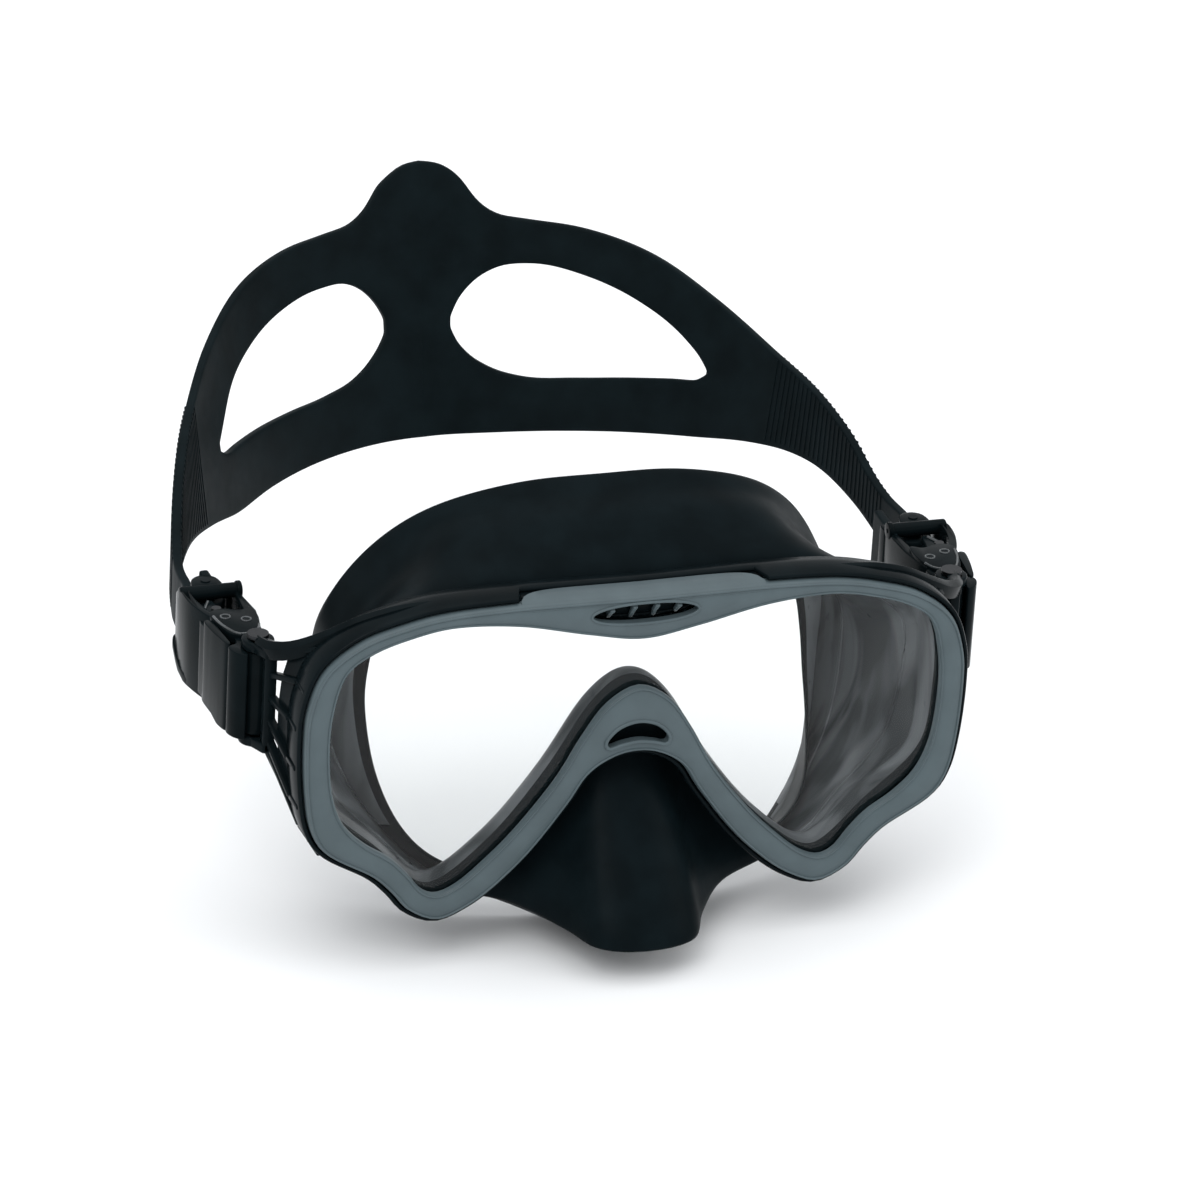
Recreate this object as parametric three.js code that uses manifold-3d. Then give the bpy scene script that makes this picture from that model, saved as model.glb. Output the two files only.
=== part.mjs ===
// A single-lens diving mask with a split head strap, in millimetres.
// The lens faces -Y, +Z is up, and +X is to the right of someone who faces the lens.
// Pieces named _right are on the +X side. The left-hand pieces are their mirror images.
// The origin is on the lens's front face, on the mid-plane, above the nose arch.

import * as THREE from 'three';
import { mergeVertices } from 'three/addons/utils/BufferGeometryUtils.js';
import Module from 'manifold-3d';

const wasm = await Module();
wasm.setup();

// ---------- driving dimensions ----------

const GAP = 0.3;                  // between pieces that touch
const SEGMENTS_ROUND = 24;        // sides of a small cylinder
const ELLIPSE_SIDES = 28;

const LENS_THICKNESS = 3;
const LENS_OVERLAP = 3;           // how far the lens reaches under the bezel
const LENS_RIM_STEP = 0.2;        // how far the hidden rim is ground back from both faces
const LENS_FRONT_INSET = 0.6;     // from the window's edge in to the ground step, in front and behind
const LENS_BACK_INSET = 4;
const BEZEL_FRONT = -2.2;
const BEZEL_LIP_BACK = -GAP;
const BEZEL_BACK = 2;
const SADDLE_HALF_WIDTH = 30.5;   // the bridge saddle that wraps over the frame's top
const SADDLE_BACK = 4.6;
const SADDLE_TOP = 18.3;
const SADDLE_FOOT = 16.6;
const FRAME_FRONT = -0.5;
const FRAME_SEAT = 2.3;           // the step that the bezel sits on
const FRAME_BACK = 9.5;
const FRAME_RIM = 1.5;            // frame showing round the bezel
const BEZEL_CLEARANCE = 0.35;
const LENS_CLEARANCE = 0.5;
const CUT_PAST = 1;               // how far a cutting tool runs past the piece it cuts
const SKIRT_WALL = 1.8;
const SKIRT_EDGE = 1.0;           // the feathered edge of the face opening
const SKIRT_COLUMNS = 78;

const VENT_CENTRE_Z = 13.3;
const VENT_HALF_WIDTH = 13.6;
const VENT_HALF_HEIGHT = 2.2;
const VENT_RIB_SPACING = 5.6;
const VENT_RIBS = 4;
const VENT_CLEARANCE = GAP + 0.05;
const VENT_RIB_WIDTH = 1;
const VENT_RIB_FRONT = -1.4;
const VENT_BACK_FRONT = 1;

const STRAP_THICKNESS = 2.4;
const STRAP_HALF_WIDTH = 97;      // half the loop's width, at its widest
const STRAP_BACK = 188.6;         // the back pad's middle
const STRAP_WIDEST_Y = 48.8;
const STRAP_EXPONENT = 1.82;      // of the superellipse that the loop follows in plan
const STRAP_LEAN = 0.2;           // the back pad opens outwards towards its top
const STRAP_LEAN_Z = 13;
const STRAP_LEAN_FROM = 80;       // arc lengths over which the lean fades to an upright arm
const STRAP_LEAN_TO = 145;
const STRAP_END_Y = 71;
const STRAP_END_GAP = 1;          // between the strap's end and the looped end's leg
const ARM_BAR = new THREE.Vector2(86.5, 18.5);  // the upright bar at the end of the frame's arm
const ARM_BAR_WIDTH = 3;
const ARM_RIB_WIDTH = 2.2;

const HINGE = new THREE.Vector2(88, 24.5);      // the buckle's upright hinge axis, right-hand side
const BUCKLE_MID_Z = -11.25;
const BUCKLE_HALF_HEIGHT = 12.25;
const CHEEK = 2.5;
const BARREL_RADIUS = 3.4;
const BARREL_HALF_HEIGHT = 10.95;
const HINGE_PIN_RADIUS = 1.6;
const PIN_HEAD_RADIUS = 2.6;
const PIN_HEAD_HEIGHT = 1;
const LUG_RADIUS = 4;
const LUG_INNER = 11.25;          // the lugs' inner faces, from the buckle's middle
const LUG_OUTER = 13.75;
const ROLLER = new THREE.Vector2(91.2, 61);
const ROLLER_RADIUS = 2.4;
const JOURNAL_RADIUS = 1.2;
const STRAP_LOOP_RADIUS = 3.85;   // middle of the strap's thickness where it turns round the roller
const STRAP_LOOP_THICKNESS = 2.2;
const STRAP_ARM_WIDTH = 18;
const LEVER_PIVOT = new THREE.Vector2(92.6, 45.5);
const PAD_LOW = -25.8;            // the release pad's foot and head
const PAD_HIGH = 0.8;
const LEVER_PIN_RADIUS = 1.2;
const SPRING_ROOM = 3;            // half the height of the gap in the lever round its spring
const SPRING_ROOM_RADIUS = 3.4;
const SPRING_RADIUS = 2.2;
const SPRING_WIRE = 0.42;         // the wire's radius
const SPRING_TURNS = 3;
const RUNNING_CLEARANCE = 0.3;

// ---------- outlines, right-hand halves as [x, z], from the top of the mid-plane round to its foot ----------

const WINDOW = [
  [0, 6.3], [20, 10.2], [40, 14], [59, 11.4], [71, 6.5], [75.5, 0], [76.8, -16], [75, -32.5], [67, -42.3],
  [59.3, -48], [54, -54.2], [48.5, -57.6], [41.5, -54.1], [31.6, -44.8], [21.7, -32.4], [13.8, -19],
  [7.9, -10.7], [0, -6.6],
];

const BEZEL_EDGE = [
  [0, 17.4], [33, 17.6], [49, 16.9], [60, 14.8], [70, 11.4], [78.5, 4.7], [82.3, -5], [83, -15], [82.3, -28],
  [80.4, -38], [76, -44.4], [65.3, -51], [60, -56], [55.5, -61.3], [48.5, -64.4], [41.5, -62], [34.6, -57.2],
  [25.7, -48.4], [16.8, -36.5], [12, -29], [6, -25], [0, -23.8],
];

// The skirt's right-hand half, as [x, y, z] at fourteen stations from the forehead round to the nose.
const SKIRT_SEAT = [
  [0, 7.5], [20, 11.4], [40, 15.2], [57, 13.2], [70, 8.6], [76.9, -2], [78, -18], [75.5, -34], [62.5, -47],
  [49, -58.8], [34, -48.6], [20.2, -31.5], [9.5, -14.2], [0, -7.8],
];
const SKIRT_THROAT = [
  [0, 11.5, 17], [20, 12, 18.5], [40, 13, 19], [57, 14, 16.5], [70, 15, 9], [77.5, 17, -5], [78, 17, -22],
  [73, 15.5, -38], [61, 13.5, -50], [48, 12, -61], [31, 11, -54], [17, 10.5, -41], [8, 10.4, -28.5],
  [0, 10.3, -26],
];
const SKIRT_WAIST = [
  [0, 22, 26.5], [20, 23, 26], [40, 26, 23.5], [55, 29, 17], [66.5, 32, 5.5], [72, 34, -9], [72, 33, -25],
  [67, 29, -40], [57, 24, -53.5], [44, 15, -64], [27, 5, -65], [17.5, -7, -65], [12, -17, -64.5],
  [0, -20, -64.5],
];
const SKIRT_RIM = [
  [0, 37, 32], [20, 38.5, 30.8], [39, 42, 25], [52, 46, 15.5], [61, 51, 1.5], [65, 54, -13], [63.5, 52.5, -29],
  [58.5, 46.5, -45], [50.5, 38, -58.5], [40, 29, -67.5], [28, 23, -72.5], [17, 20, -75.5], [8, 18.5, -77],
  [0, 18, -77.5],
];
const SKIRT_OPENING = [
  [0, 30, 19], [19, 32, 17.5], [35, 35.5, 12.5], [46, 38.5, 4], [52.5, 40, -6], [55, 40.3, -17],
  [55.8, 38.5, -27.5], [55, 30.5, -40], [51.5, 20.5, -49.5], [44, 15, -56.5], [30, 15, -63], [17, 14.5, -66.5],
  [8, 14, -68], [0, 14, -68.5],
];
const NOSE_UNDERSIDE = [[42, 22, -67], [28, 14, -70.5], [17.5, -1, -71], [11, -11, -71.5], [0, -14, -71.5]];
const SHOULDER = 0.55;            // where the wall bends between its waist and its rim, away from the nose

// The strap laid flat: [distance from the back's middle, height], right-hand half.
const STRAP_TOP = [
  [0, 48], [5, 47], [10, 43], [14, 37.5], [18, 34.5], [25, 33.5], [40, 33], [60, 30], [80, 23.5], [100, 14.5],
  [120, 6.5], [138, 0], [150, -2.25], [185, -2.25],
];
const STRAP_BOTTOM = [
  [0, -24], [40, -24], [60, -23.6], [80, -22.6], [100, -18.5], [120, -16.2], [138, -17.6], [150, -20.25],
  [185, -20.25],
];
const OPENING_TOP = [
  [10.5, 8], [12, 11], [15, 15], [20, 18.7], [30, 20], [45, 18.5], [60, 14.7], [75, 8], [82, 4.2], [85, 2],
];
const OPENING_FOOT = [
  [10.5, 4], [12, 1.5], [15, -2], [20, -5.6], [30, -8], [45, -7.2], [60, -5.6], [75, -3.5], [82, -1.8], [85, 0],
];
const OPENING_FROM = 10.5;
const OPENING_TO = 85;

// ---------- geometry helpers ----------

function solidOf(geometry) {
  const bare = geometry.clone();
  bare.deleteAttribute('normal');
  bare.deleteAttribute('uv');
  const merged = mergeVertices(bare, 1e-4);
  const mesh = new wasm.Mesh({
    numProp: 3,
    vertProperties: merged.attributes.position.array,
    triVerts: new Uint32Array(merged.index.array),
  });
  return new wasm.Manifold(mesh);
}

function geometryOf(solid) {
  const mesh = solid.getMesh();
  const geometry = new THREE.BufferGeometry();
  geometry.setAttribute('position', new THREE.BufferAttribute(mesh.vertProperties, 3));
  geometry.setIndex(new THREE.BufferAttribute(mesh.triVerts, 1));
  return geometry;
}

function joined(geometries) {
  return geometries.map(solidOf).reduce((sum, piece) => sum.add(piece));
}

function cut(solid, geometries) {
  return geometries.map(solidOf).reduce((rest, tool) => rest.subtract(tool), solid);
}

// Both halves of a closed outline: the right half, then its mirror image without the mid-plane points.
function bothHalves(half) {
  const mirror = half.slice(1, -1).reverse().map(([x, ...rest]) => [-x, ...rest]);
  return [...half, ...mirror];
}

function smoothLoop(half, count) {
  const points = bothHalves(half).map(([x, z]) => new THREE.Vector3(x, z, 0));
  const loop = new THREE.CatmullRomCurve3(points, true, 'centripetal').getSpacedPoints(count);
  return loop.slice(0, -1).map((point) => new THREE.Vector2(point.x, point.y));
}

// Moves each point of a clockwise loop outwards, square to the line between its neighbours.
function grown(loop, distance) {
  return loop.map((point, index) => {
    const before = loop[(index + loop.length - 1) % loop.length];
    const after = loop[(index + 1) % loop.length];
    const along = after.clone().sub(before).normalize();
    return new THREE.Vector2(point.x - along.y * distance, point.y + along.x * distance);
  });
}

// A flat piece standing in the XZ plane, from one depth to another, with any number of holes.
function plate(outline, holes, front, back) {
  const shape = new THREE.Shape(outline);
  shape.holes = holes.map((hole) => new THREE.Path([...hole].reverse()));
  const geometry = new THREE.ExtrudeGeometry(shape, { depth: back - front, bevelEnabled: false });
  geometry.rotateX(Math.PI / 2);
  geometry.translate(0, back, 0);
  return geometry;
}

// A piece whose plan in XY is the same from one height to another.
function column(outline, low, high) {
  const shape = new THREE.Shape(outline);
  const geometry = new THREE.ExtrudeGeometry(shape, { depth: high - low, bevelEnabled: false });
  geometry.translate(0, 0, low);
  return geometry;
}

function planPoints(pairs) {
  return pairs.map(([x, y]) => new THREE.Vector2(x, y));
}

function block(low, high) {
  const geometry = new THREE.BoxGeometry(high[0] - low[0], high[1] - low[1], high[2] - low[2]);
  geometry.translate((low[0] + high[0]) / 2, (low[1] + high[1]) / 2, (low[2] + high[2]) / 2);
  return geometry;
}

function upright(centre, radius, low, high) {
  const geometry = new THREE.CylinderGeometry(radius, radius, high - low, SEGMENTS_ROUND);
  geometry.rotateX(Math.PI / 2);
  geometry.translate(centre.x, centre.y, (low + high) / 2);
  return geometry;
}

// A square bar between two points.
function beam(from, to, width) {
  const start = new THREE.Vector3(...from);
  const end = new THREE.Vector3(...to);
  const geometry = new THREE.BoxGeometry(width, width, start.distanceTo(end));
  const turn = new THREE.Quaternion().setFromUnitVectors(
    new THREE.Vector3(0, 0, 1), end.clone().sub(start).normalize());
  geometry.applyQuaternion(turn);
  geometry.translate((start.x + end.x) / 2, (start.y + end.y) / 2, (start.z + end.z) / 2);
  return geometry;
}

// Reflects a piece to the left-hand side, keeping its faces pointing outwards.
function mirrored(geometry) {
  const flipped = geometry.index ? geometry.clone() : mergeVertices(geometry);
  flipped.scale(-1, 1, 1);
  const index = flipped.index.array;
  for (let corner = 0; corner < index.length; corner += 3) {
    [index[corner], index[corner + 1]] = [index[corner + 1], index[corner]];
  }
  return flipped;
}

// A closed skin over a grid of points: rows run round a closed section, columns run along the piece.
function gridSurface(grid, columnsClose) {
  const rows = grid.length;
  const columns = grid[0].length;
  const positions = grid.flat().flatMap((point) => [point.x, point.y, point.z]);
  const index = [];
  const lastColumn = columnsClose ? columns : columns - 1;
  for (let row = 0; row < rows; row += 1) {
    for (let column = 0; column < lastColumn; column += 1) {
      const here = row * columns + column;
      const right = row * columns + (column + 1) % columns;
      const above = ((row + 1) % rows) * columns + column;
      const across = ((row + 1) % rows) * columns + (column + 1) % columns;
      index.push(here, right, across, here, across, above);
    }
  }
  const geometry = new THREE.BufferGeometry();
  geometry.setAttribute('position', new THREE.Float32BufferAttribute(positions, 3));
  geometry.setIndex(index);
  return geometry;
}

function heightAt(profile, distance) {
  const next = Math.max(1, profile.findIndex(([at]) => at >= distance));
  const [fromAt, fromHeight] = profile[next - 1];
  const [toAt, toHeight] = profile[next];
  return fromHeight + (toHeight - fromHeight) * (distance - fromAt) / (toAt - fromAt);
}

// ---------- lens, bezel, bridge and frame ----------

const OUTLINE_POINTS = 112;
const windowLoop = smoothLoop(WINDOW, OUTLINE_POINTS);
const bezelLoop = smoothLoop(BEZEL_EDGE, OUTLINE_POINTS);

function ellipse(halfWidth, halfHeight, centreZ) {
  return new THREE.EllipseCurve(0, centreZ, halfWidth, halfHeight, 0, Math.PI * 2)
    .getPoints(ELLIPSE_SIDES)
    .slice(0, -1);
}

function noseCrescent() {
  const shape = new THREE.Shape();
  shape.moveTo(-8, -20.4);
  shape.quadraticCurveTo(0, -11, 8, -20.4);
  shape.lineTo(6.6, -21.4);
  shape.quadraticCurveTo(0, -16.6, -6.6, -21.4);
  shape.closePath();
  return shape.getPoints(8).slice(0, -1);
}

function lens() {
  const middle = LENS_THICKNESS / 2;
  const rim = plate(grown(windowLoop, LENS_OVERLAP), [], LENS_RIM_STEP, LENS_THICKNESS - LENS_RIM_STEP);
  const front = plate(grown(windowLoop, -LENS_FRONT_INSET), [], 0, middle);
  const back = plate(grown(windowLoop, -LENS_BACK_INSET), [], middle, LENS_THICKNESS);
  return geometryOf(joined([rim, front, back]));
}

function frontBezel() {
  const ring = plate(bezelLoop, [windowLoop], BEZEL_FRONT, BEZEL_BACK);
  const lensOutline = grown(windowLoop, LENS_OVERLAP + LENS_CLEARANCE);
  const lensRoom = plate(lensOutline, [], BEZEL_LIP_BACK, BEZEL_BACK + CUT_PAST);
  const saddle = block(
    [-SADDLE_HALF_WIDTH, FRAME_FRONT, SADDLE_FOOT],
    [SADDLE_HALF_WIDTH, SADDLE_BACK, SADDLE_TOP]);
  const ventOutline = ellipse(VENT_HALF_WIDTH, VENT_HALF_HEIGHT, VENT_CENTRE_Z);
  const vent = plate(ventOutline, [], BEZEL_FRONT - CUT_PAST, BEZEL_BACK + CUT_PAST);
  const crescent = plate(noseCrescent(), [], BEZEL_FRONT - CUT_PAST, BEZEL_BACK + CUT_PAST);
  return geometryOf(cut(cut(solidOf(ring), [lensRoom]).add(solidOf(saddle)), [vent, crescent]));
}

function bridgeGrille() {
  const clear = VENT_CLEARANCE;
  const outline = ellipse(VENT_HALF_WIDTH - clear, VENT_HALF_HEIGHT - clear, VENT_CENTRE_Z);
  const back = plate(outline, [], VENT_BACK_FRONT, BEZEL_BACK);
  const ribs = Array.from({ length: VENT_RIBS }, (_, rib) => {
    const x = (rib - (VENT_RIBS - 1) / 2) * VENT_RIB_SPACING;
    const reach = VENT_HALF_HEIGHT * Math.sqrt(1 - (x / VENT_HALF_WIDTH) ** 2) - 2 * clear;
    return block(
      [x - VENT_RIB_WIDTH / 2, VENT_RIB_FRONT, VENT_CENTRE_Z - reach],
      [x + VENT_RIB_WIDTH / 2, (VENT_BACK_FRONT + BEZEL_BACK) / 2, VENT_CENTRE_Z + reach]);
  });
  return geometryOf(joined([back, ...ribs]));
}

// The arm's ribs: each one's root on the frame, and its height where it meets the upright bar.
const ARM_RIBS = [
  [[78.3, 7, 8.2], 1],
  [[82.6, 7, -0.5], -4.5],
  [[83, 7, -10], -10.5],
  [[82.8, 7, -20], -16.5],
  [[81.8, 7, -31], -22.5],
  [[78.2, 6.5, -42], -23.2],
];

// One open arm on the frame's side: ribs that fan from the frame to an upright bar, and two hinge lugs.
function frameArm() {
  const ribs = ARM_RIBS.map(([root, tipZ]) => beam(root, [ARM_BAR.x, ARM_BAR.y, tipZ], ARM_RIB_WIDTH));
  const half = ARM_BAR_WIDTH / 2;
  const foot = BUCKLE_MID_Z - LUG_OUTER;
  const head = BUCKLE_MID_Z + LUG_OUTER;
  const bar = block([ARM_BAR.x - half, ARM_BAR.y - half, foot], [ARM_BAR.x + half, ARM_BAR.y + half, head]);
  const lugHeights = [[foot, BUCKLE_MID_Z - LUG_INNER], [BUCKLE_MID_Z + LUG_INNER, head]];
  const lugs = lugHeights.flatMap(([low, high]) => [
    upright(HINGE, LUG_RADIUS, low, high),
    block([ARM_BAR.x - half, ARM_BAR.y - half, low], [HINGE.x + LUG_RADIUS / 2, HINGE.y, high]),
  ]);
  const bore = upright(HINGE, HINGE_PIN_RADIUS + RUNNING_CLEARANCE, foot - CUT_PAST, head + CUT_PAST);
  return geometryOf(cut(joined([...ribs, bar, ...lugs]), [bore]));
}

function mainFrame() {
  const outer = grown(bezelLoop, FRAME_RIM);
  const inner = grown(windowLoop, LENS_OVERLAP + BEZEL_CLEARANCE);
  const ring = plate(outer, [inner], FRAME_FRONT, FRAME_BACK);
  const seat = plate(grown(bezelLoop, BEZEL_CLEARANCE), [], FRAME_FRONT - CUT_PAST, FRAME_SEAT);
  const notchHalf = SADDLE_HALF_WIDTH + BEZEL_CLEARANCE;
  const notch = block(
    [-notchHalf, FRAME_FRONT - CUT_PAST, SADDLE_FOOT - GAP],
    [notchHalf, SADDLE_BACK + GAP, SADDLE_TOP + 2 * CUT_PAST]);
  const seated = cut(solidOf(ring), [seat, notch]);
  const arm = frameArm();
  return geometryOf(seated.add(solidOf(arm)).add(solidOf(mirrored(arm))));
}

// ---------- skirt ----------

function skirtRows() {
  const atDepth = (pairs, y) => pairs.map(([x, z]) => [x, y, z]);
  const firstNose = SKIRT_WAIST.length - NOSE_UNDERSIDE.length;
  const shoulder = SKIRT_WAIST.map((waist, station) => {
    if (station >= firstNose) {
      return NOSE_UNDERSIDE[station - firstNose];
    }
    return waist.map((value, axis) => value + (SKIRT_RIM[station][axis] - value) * SHOULDER);
  });
  return [
    atDepth(SKIRT_SEAT, LENS_THICKNESS + GAP),
    atDepth(SKIRT_SEAT, FRAME_BACK + GAP),
    SKIRT_THROAT,
    SKIRT_WAIST,
    shoulder,
    SKIRT_RIM,
    SKIRT_OPENING,
  ].map((row) => {
    const stations = bothHalves(row).map((point) => new THREE.Vector3(...point));
    const loop = new THREE.CatmullRomCurve3(stations, true);
    return Array.from({ length: SKIRT_COLUMNS }, (_, column) => loop.getPoint(column / SKIRT_COLUMNS));
  });
}

// The inward direction at a grid point, lengthened where the section folds so the wall keeps its thickness.
function inwardStep(rows, row, column, thickness) {
  const columns = rows[row].length;
  const here = rows[row][column];
  const round = rows[row][(column + 1) % columns].clone().sub(rows[row][(column + columns - 1) % columns]);
  const normals = [row - 1, row + 1]
    .filter((other) => other >= 0 && other < rows.length)
    .map((other) => {
      const along = rows[other][column].clone().sub(here).multiplyScalar(other > row ? 1 : -1);
      return new THREE.Vector3().crossVectors(along, round).normalize();
    });
  const mean = normals.reduce((sum, normal) => sum.add(normal), new THREE.Vector3()).normalize();
  const miter = Math.min(2.2, 1 / Math.max(0.1, mean.dot(normals[0])));
  return mean.multiplyScalar(thickness * miter);
}

function skirt() {
  const outer = skirtRows();
  const last = outer.length - 1;
  const inner = outer.map((points, row) => points.map((point, column) => {
    const thickness = row === last ? SKIRT_EDGE : SKIRT_WALL;
    return point.clone().add(inwardStep(outer, row, column, thickness));
  }));
  return gridSurface([...outer, ...inner.reverse()], true);
}

// ---------- strap ----------

// Points along the strap's plan curve by arc length from the back's middle, with the outward normal.
function strapPlan() {
  const steps = 400;
  const table = [];
  let length = 0;
  for (let step = 0; step <= steps; step += 1) {
    const angle = (step / steps) * (Math.PI / 2);
    const x = STRAP_HALF_WIDTH * Math.sin(angle) ** (2 / STRAP_EXPONENT);
    const y = STRAP_WIDEST_Y + (STRAP_BACK - STRAP_WIDEST_Y) * Math.cos(angle) ** (2 / STRAP_EXPONENT);
    const before = table[table.length - 1];
    length += before ? Math.hypot(x - before.x, y - before.y) : 0;
    table.push({ x, y, length });
  }
  return table;
}

const strapTable = strapPlan();
const strapEnd = strapTable.find((entry) => entry.y <= STRAP_END_Y).length;

function planAt(distance) {
  const next = Math.max(1, strapTable.findIndex((entry) => entry.length >= distance));
  const from = strapTable[next - 1];
  const to = strapTable[next];
  const share = (distance - from.length) / (to.length - from.length);
  const along = new THREE.Vector2(to.x - from.x, to.y - from.y).normalize();
  return {
    x: from.x + (to.x - from.x) * share,
    y: from.y + (to.y - from.y) * share,
    outX: distance === 0 ? 0 : -along.y,
    outY: distance === 0 ? 1 : along.x,
  };
}

// A point on the strap: arc length (negative on the left), height, and distance out from its middle surface.
function strapPoint(distance, z, out) {
  const plan = planAt(Math.abs(distance));
  const fade = THREE.MathUtils.smoothstep(Math.abs(distance), STRAP_LEAN_FROM, STRAP_LEAN_TO);
  const shift = STRAP_LEAN * (1 - fade) * (z - STRAP_LEAN_Z) + out;
  const side = distance < 0 ? -1 : 1;
  return new THREE.Vector3(side * (plan.x + plan.outX * shift), plan.y + plan.outY * shift, z);
}

function bothSides(distances) {
  return [...distances.slice(1).reverse().map((distance) => -distance), ...distances];
}

// A band that follows the strap between two height profiles, so far either side of its middle surface.
function strapBand(distances, low, high, reach) {
  const corners = [[low, reach], [low, -reach], [high, -reach], [high, reach]];
  return boxes(distances, corners.map(([profile, out]) => (distance) => (
    strapPoint(distance, heightAt(profile, Math.abs(distance)), out))));
}

function strap() {
  const beforeEnd = [0, 6, 10, 14, 18, 26, 34, 44, 54, 64, 74, 84, 92, 102, 112, 122, 132, 142, 150, 156];
  const opening = [OPENING_FROM, 12, 15, 20, 28, 37, 46, 56, 66, 76, 82, OPENING_TO];
  const whole = strapBand(bothSides([...beforeEnd, strapEnd]), STRAP_BOTTOM, STRAP_TOP, STRAP_THICKNESS / 2);
  const openings = [opening, opening.map((distance) => -distance).reverse()]
    .map((distances) => strapBand(distances, OPENING_FOOT, OPENING_TOP, STRAP_THICKNESS));
  return geometryOf(cut(solidOf(whole), openings));
}

// A chain of four-cornered sections, closed at both ends.
function boxes(sections, ring) {
  const grid = ring.map((corner) => sections.map(corner));
  const skin = gridSurface(grid, false);
  const columns = sections.length;
  const index = [...skin.index.array];
  const first = [0, 1, 2, 3].map((corner) => corner * columns);
  const final = first.map((corner) => corner + columns - 1);
  index.push(first[0], first[1], first[2], first[0], first[2], first[3]);
  index.push(final[0], final[2], final[1], final[0], final[3], final[2]);
  skin.setIndex(index);
  return skin;
}

// ---------- buckle, right-hand side ----------

const cheekInnerLow = BUCKLE_MID_Z - BUCKLE_HALF_HEIGHT + CHEEK;
const cheekInnerHigh = BUCKLE_MID_Z + BUCKLE_HALF_HEIGHT - CHEEK;
const buckleLow = BUCKLE_MID_Z - BUCKLE_HALF_HEIGHT;
const buckleHigh = BUCKLE_MID_Z + BUCKLE_HALF_HEIGHT;

// Plans of the buckle's parts in XY.
const NECK_PLAN = [[84.8, 24.5], [91.2, 24.5], [92.5, 31], [84.8, 31]];
const NOSE_PLAN = [[84.8, 29.5], [92.2, 29.5], [93, 33.5], [84.6, 33.5]];
const CHEEK_PLAN = [
  [84.6, 33], [92.9, 33], [94, 40], [97.6, 47.5], [98.8, 54], [98.8, 67], [83.5, 67], [83.5, 52], [83, 44],
];
const OUTER_WALL_PLAN = [[98, 50.5], [98.8, 54], [98.8, 67], [96.8, 67], [96.8, 50.5]];
const INNER_WALL_PLAN = [[84.6, 33], [87, 33], [85.4, 45], [83.2, 45], [83, 44]];
const GUARD_BAR_PLAN = [[83.5, 61.5], [85.8, 61.5], [85.8, 65.5], [83.5, 65.5]];
const LEVER_PLAN = [
  [93.8, 34.2], [95, 34.2], [97.4, 38.5], [97.9, 42], [98, 44.2], [96.8, 46.5], [94.7, 48], [93.9, 51],
  [92.8, 54.8], [91.3, 54.8], [90.8, 50], [90.2, 46.5], [91.6, 42], [93, 39],
];
const PAD_PLAN = [[93.8, 27], [95.4, 27.6], [96.8, 31], [97.3, 36], [97.4, 39.5], [95.2, 39.5], [94.2, 33]];

// The frame that the strap, its roller and the lever sit in, with the barrel of the swinging hinge.
function buckleBody() {
  const barrelLow = BUCKLE_MID_Z - BARREL_HALF_HEIGHT;
  const barrelHigh = BUCKLE_MID_Z + BARREL_HALF_HEIGHT;
  const hinge = [
    upright(HINGE, BARREL_RADIUS, barrelLow, barrelHigh),
    column(planPoints(NECK_PLAN), barrelLow, barrelHigh),
  ];
  const cheeks = [[buckleLow, cheekInnerLow], [cheekInnerHigh, buckleHigh]]
    .map(([low, high]) => column(planPoints(CHEEK_PLAN), low, high));
  const walls = [NOSE_PLAN, OUTER_WALL_PLAN, INNER_WALL_PLAN, GUARD_BAR_PLAN]
    .map((plan) => column(planPoints(plan), buckleLow, buckleHigh));
  const bores = [[HINGE, HINGE_PIN_RADIUS], [ROLLER, JOURNAL_RADIUS], [LEVER_PIVOT, LEVER_PIN_RADIUS]]
    .map(([axis, radius]) => (
      upright(axis, radius + RUNNING_CLEARANCE, buckleLow - CUT_PAST, buckleHigh + CUT_PAST)));
  return geometryOf(cut(joined([...hinge, ...cheeks, ...walls]), bores));
}

function hingePin() {
  const low = BUCKLE_MID_Z - LUG_OUTER;
  const high = BUCKLE_MID_Z + LUG_OUTER;
  const shank = upright(HINGE, HINGE_PIN_RADIUS, low, high + GAP + PIN_HEAD_HEIGHT / 2);
  const head = upright(HINGE, PIN_HEAD_RADIUS, high + GAP, high + GAP + PIN_HEAD_HEIGHT);
  return geometryOf(joined([shank, head]));
}

function strapRoller() {
  const barrel = upright(ROLLER, ROLLER_RADIUS, cheekInnerLow + GAP, cheekInnerHigh - GAP);
  const journal = upright(ROLLER, JOURNAL_RADIUS, buckleLow + GAP, buckleHigh - GAP);
  return geometryOf(joined([barrel, journal]));
}

// The lever's body turns between the cheeks, and its pad covers them from the outside.
function releaseLever() {
  const body = column(planPoints(LEVER_PLAN), cheekInnerLow + GAP, cheekInnerHigh - GAP);
  const pad = column(planPoints(PAD_PLAN), PAD_LOW, PAD_HIGH);
  const bore = upright(LEVER_PIVOT, LEVER_PIN_RADIUS + RUNNING_CLEARANCE, buckleLow, buckleHigh);
  const springRoom = upright(
    LEVER_PIVOT, SPRING_ROOM_RADIUS, BUCKLE_MID_Z - SPRING_ROOM, BUCKLE_MID_Z + SPRING_ROOM);
  return geometryOf(cut(joined([body, pad]), [bore, springRoom]));
}

function leverPin() {
  return upright(LEVER_PIVOT, LEVER_PIN_RADIUS, buckleLow + GAP, buckleHigh - GAP);
}

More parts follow.
